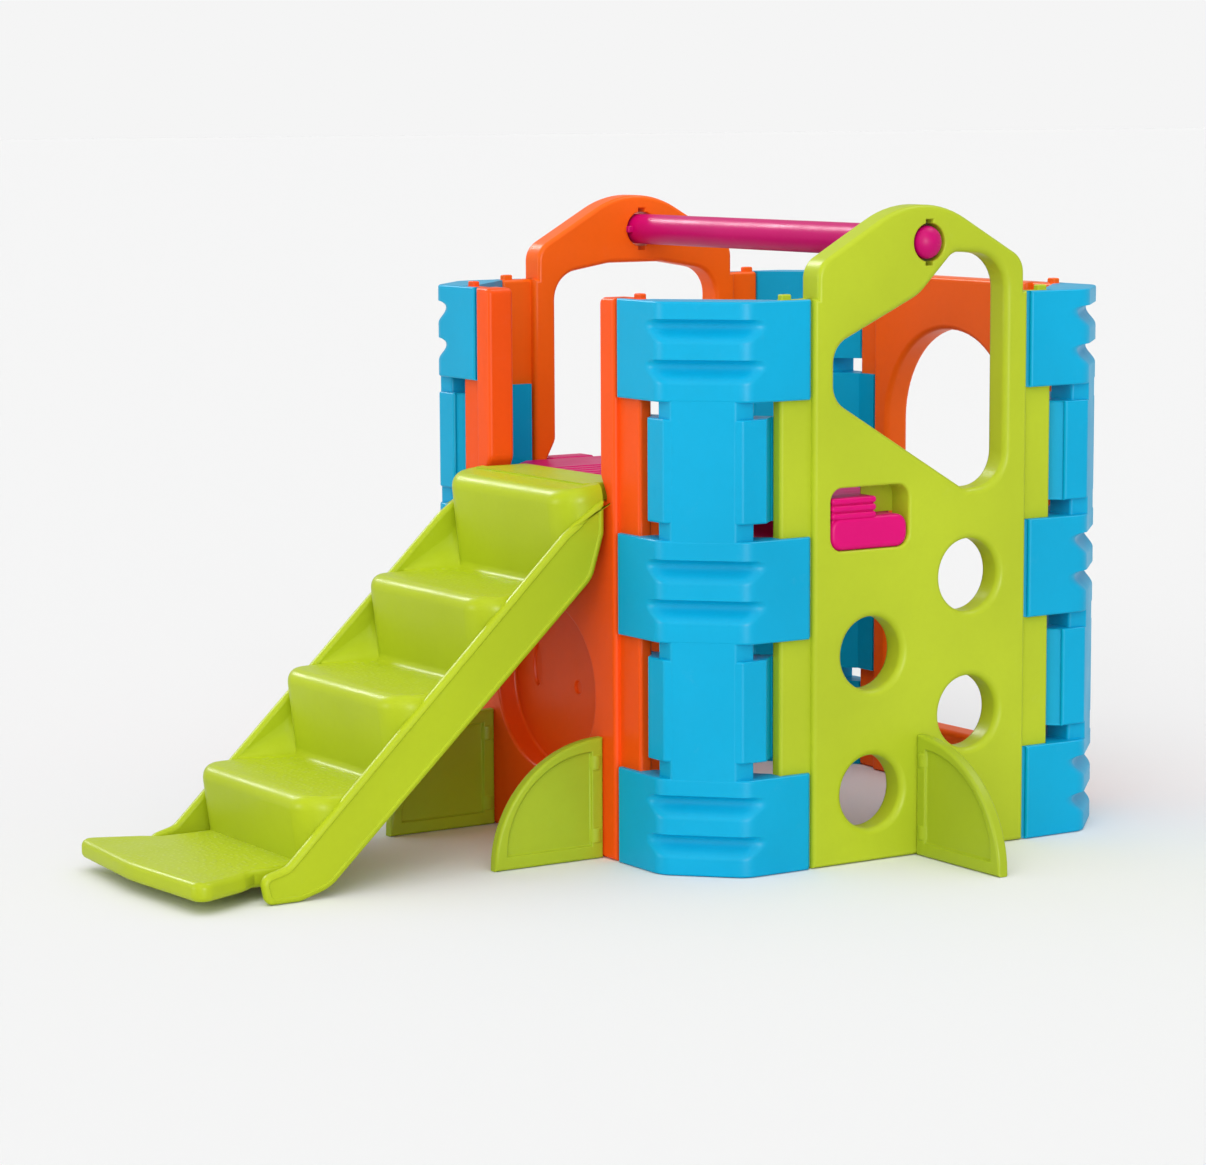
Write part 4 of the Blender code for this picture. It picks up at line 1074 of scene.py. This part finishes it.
def stepped_ramp():
    """Steps between two rails, with a floor lip below and a landing with a hook above."""
    work = bmesh.new()
    foot = LIP_LIFT + LIP_THICKNESS / 2
    for step in range(STEP_COUNT):
        nose = FIRST_NOSE + STEP_RUN * step
        last = step == STEP_COUNT - 1
        tread = TOP_TREAD if last else FIRST_TREAD_HEIGHT + STEP_RISE * step
        back = RAMP_FACE if last else nose + STEP_RUN + NOSE_OVERHANG + STEP_LAP
        add_step(work, nose, tread, foot, back, LANDING_CROWN if last else 0.0)
        if not last:
            add_corner_blends(work, nose, tread)
        foot = tread
    half = GATE_HALF_WIDTH - LANDING_SIDE_GAP
    landing = fillet(landing_corners(), SIDE_ARC_STEPS)
    add_slab(work, "YZ", landing, -half, half, LANDING_EDGE)
    add_slab(work, "XY", floor_lip(), LIP_LIFT, LIP_LIFT + LIP_THICKNESS, LIP_ROUND)
    rail = fillet(rail_corners())
    panel_corners = inset([(y, z) for y, z, _ in rail_corners()], RAIL_RIM)
    panel = fillet([(y, z, radius) for (y, z), radius in zip(panel_corners, RAIL_PANEL_RADII)])
    for low, high in ((-RAMP_HALF_WIDTH, -RAIL_INNER), (RAIL_INNER, RAMP_HALF_WIDTH)):
        sunk = Cut(panel, RAIL_PANEL_EDGE, RAIL_PANEL_DEPTH, high > 0.0, RAIL_PANEL_EDGE)
        add_slab(work, "YZ", rail, low, high, RAIL_ROUND, [sunk])
    return work


# Feet

def quarter(reach, height, start, tip):
    """A quarter ellipse between two straight edges that begin at start, with a blunt tip."""
    points = [(start, start), (start + (reach - start) * FOOT_TIP_END, start)]
    first = pi / 2 * tip
    steps = 22
    for step in range(steps + 1):
        angle = first + (pi / 2 - first) * step / steps
        points.append((start + (reach - start) * cos(angle), start + (height - start) * sin(angle)))
    return points


def stabiliser_foot(reach):
    """Quarter-round plate with a rim, sunk faces and two knuckles on its wall edge."""
    work = bmesh.new()
    half = FOOT_THICKNESS / 2
    rim = quarter(reach, FOOT_HEIGHT, 0.0, FOOT_TIP)
    panel = quarter(reach - FOOT_RIM, FOOT_HEIGHT - FOOT_RIM, FOOT_RIM, FOOT_PANEL_TIP)
    sunk = [Cut(panel, FOOT_PANEL_EDGE, FOOT_RECESS, high, FOOT_PANEL_FLOOR) for high in (True, False)]
    add_slab(work, "XZ", rim, -half, half, FOOT_ROUND, sunk)
    for z in FOOT_KNUCKLES:
        rise = FOOT_KNUCKLE_HEIGHT / 2
        knuckle = ellipse(FOOT_KNUCKLE_RADIUS, 0.0, FOOT_KNUCKLE_RADIUS, FOOT_KNUCKLE_RADIUS, 28)
        add_slab(work, "XY", knuckle, z - rise, z + rise, FOOT_KNUCKLE_EDGE)
    return work


def build_object():
    """Draw every piece and hand it to its body and node."""
    walls = (
        ("ramp_wall", ramp_wall, RED_ORANGE, "red_orange_plastic"),
        ("climbing_wall", climbing_wall, GREEN, "green_plastic"),
        ("door_wall", door_wall, DOOR_ORANGE, "red_orange_plastic"),
        ("arch_wall", arch_wall, ORANGE, "orange_plastic"),
    )
    for index, (node, make, material, slot) in enumerate(walls):
        make_piece(node + "_shell", make(), material, "tower", node, index * pi / 2)

    nodes = ("door_climbing_post", "door_arch_post", "ramp_arch_post", "ramp_climbing_post")
    for index, node in enumerate(nodes):
        make_piece(node + "_shell", corner_post(), BLUE, "tower", node, index * pi / 2)

    make_piece("deck_shell", deck(), MAGENTA, "tower", "deck")
    bar_place = (0.0, BAR_OFFSET, BAR_HEIGHT)
    bar_name = "overhead_bar"
    bar = overhead_bar()
    make_piece(bar_name + "_shell", bar, BAR_MAGENTA, "bar", bar_name, 0.0, bar_place)
    make_piece("stepped_ramp_shell", stepped_ramp(), STEP_GREEN, "ramp", "stepped_ramp")

    outside = HALF + FIT_GAP
    feet = (
        ("climbing_foot", FOOT_REACH, 0.0, (outside, 0.0, 0.0)),
        ("ramp_foot_left", RAMP_FOOT_REACH, -pi / 2, (-FOOT_SIDE, -outside, 0.0)),
        ("ramp_foot_right", RAMP_FOOT_REACH, -pi / 2, (FOOT_SIDE, -outside, 0.0)),
    )
    for node, reach, turn, place in feet:
        foot = stabiliser_foot(reach)
        make_piece(node + "_shell", foot, FOOT_GREEN, "tower", node, turn, place)


# Stage, light and camera

BACKGROUND = 0.913
FLOOR_HALF_SIZE = 150.0
FLOOR_DROP = 0.0008
FLOOR_ALBEDO = 0.858
FLOOR_ROUGHNESS = 0.9
WORLD_STRENGTH = 0.62
CAMERA_FAR = 500.0

# Name, direction towards the light, strength, angle in degrees, lights matt surfaces
SUNS = (
    ("top_light", (0.25, -0.20, 1.0), 0.90, 60.0, True),
    ("front_light", (0.80, -0.62, 0.45), 1.15, 50.0, True),
    ("left_light", (-0.80, -0.90, 0.50), 0.25, 50.0, True),
    ("right_gloss", (0.97, -0.21, 0.12), 3.0, 9.0, False),
    ("left_gloss", (-0.21, -0.97, 0.12), 1.6, 9.0, False),
    ("top_gloss", (0.13, 0.53, 0.83), 1.3, 16.0, False),
    ("nose_gloss", (-0.80, -0.15, 0.55), 1.7, 11.0, False),
)


def make_stage():
    mesh = bpy.data.meshes.new("floor")
    size = FLOOR_HALF_SIZE
    corners = [(-size, -size), (size, -size), (size, size), (-size, size)]
    mesh.from_pydata([(x, y, -FLOOR_DROP) for x, y in corners], [], [(0, 1, 2, 3)])
    floor = bpy.data.objects.new("floor", mesh)
    bpy.context.scene.collection.objects.link(floor)
    material = bpy.data.materials.new("floor_paper")
    material.use_nodes = True
    shader = material.node_tree.nodes["Principled BSDF"]
    shader.inputs["Base Color"].default_value = (FLOOR_ALBEDO, FLOOR_ALBEDO, FLOOR_ALBEDO, 1.0)
    shader.inputs["Roughness"].default_value = FLOOR_ROUGHNESS
    shader.inputs["Specular IOR Level"].default_value = 0.0
    mesh.materials.append(material)


def make_light():
    """Soft suns and an even world; only the camera sees the world's pale backdrop."""
    world = bpy.data.worlds.new("studio")
    bpy.context.scene.world = world
    world.use_nodes = True
    tree = world.node_tree
    tree.nodes.clear()
    output = tree.nodes.new("ShaderNodeOutputWorld")
    ambient = tree.nodes.new("ShaderNodeBackground")
    ambient.inputs["Color"].default_value = (1.0, 1.0, 1.0, 1.0)
    ambient.inputs["Strength"].default_value = WORLD_STRENGTH
    seen = tree.nodes.new("ShaderNodeBackground")
    seen.inputs["Color"].default_value = (BACKGROUND, BACKGROUND, BACKGROUND, 1.0)
    seen.inputs["Strength"].default_value = 1.0
    path = tree.nodes.new("ShaderNodeLightPath")
    mix = tree.nodes.new("ShaderNodeMixShader")
    tree.links.new(path.outputs["Is Camera Ray"], mix.inputs["Fac"])
    tree.links.new(ambient.outputs["Background"], mix.inputs[1])
    tree.links.new(seen.outputs["Background"], mix.inputs[2])
    tree.links.new(mix.outputs["Shader"], output.inputs["Surface"])
    for name, direction, strength, angle, diffuse in SUNS:
        light = bpy.data.lights.new(name, "SUN")
        light.energy = strength
        light.angle = radians(angle)
        lamp = bpy.data.objects.new(name, light)
        lamp.rotation_euler = Vector(direction).to_track_quat("Z", "Y").to_euler()
        lamp.visible_diffuse = diffuse
        bpy.context.scene.collection.objects.link(lamp)


def make_camera():
    """The camera that was fitted to the photograph's edges."""
    yaw, pitch, roll = radians(CAMERA_YAW), radians(CAMERA_PITCH), radians(CAMERA_ROLL)
    back = Vector((sin(yaw) * cos(pitch), -cos(yaw) * cos(pitch), sin(pitch)))
    right = Vector((cos(yaw), sin(yaw), 0.0))
    up = back.cross(right)
    turned_right = right * cos(roll) + up * sin(roll)
    turned_up = up * cos(roll) - right * sin(roll)
    camera_data = bpy.data.cameras.new("camera")
    camera_data.sensor_fit = "HORIZONTAL"
    camera_data.sensor_width = SENSOR_WIDTH
    camera_data.lens = FOCAL_PIXELS / PHOTO_WIDTH * SENSOR_WIDTH
    camera_data.clip_end = CAMERA_FAR
    camera = bpy.data.objects.new("camera", camera_data)
    bpy.context.scene.collection.objects.link(camera)
    turn = Matrix((turned_right, turned_up, back)).transposed().to_4x4()
    camera.matrix_world = Matrix.Translation(CENTRE + Vector(CAMERA_PLACE)) @ turn
    bpy.context.scene.camera = camera


build_object()
make_stage()
make_light()
make_camera()
bpy.context.scene.view_settings.view_transform = "Standard"
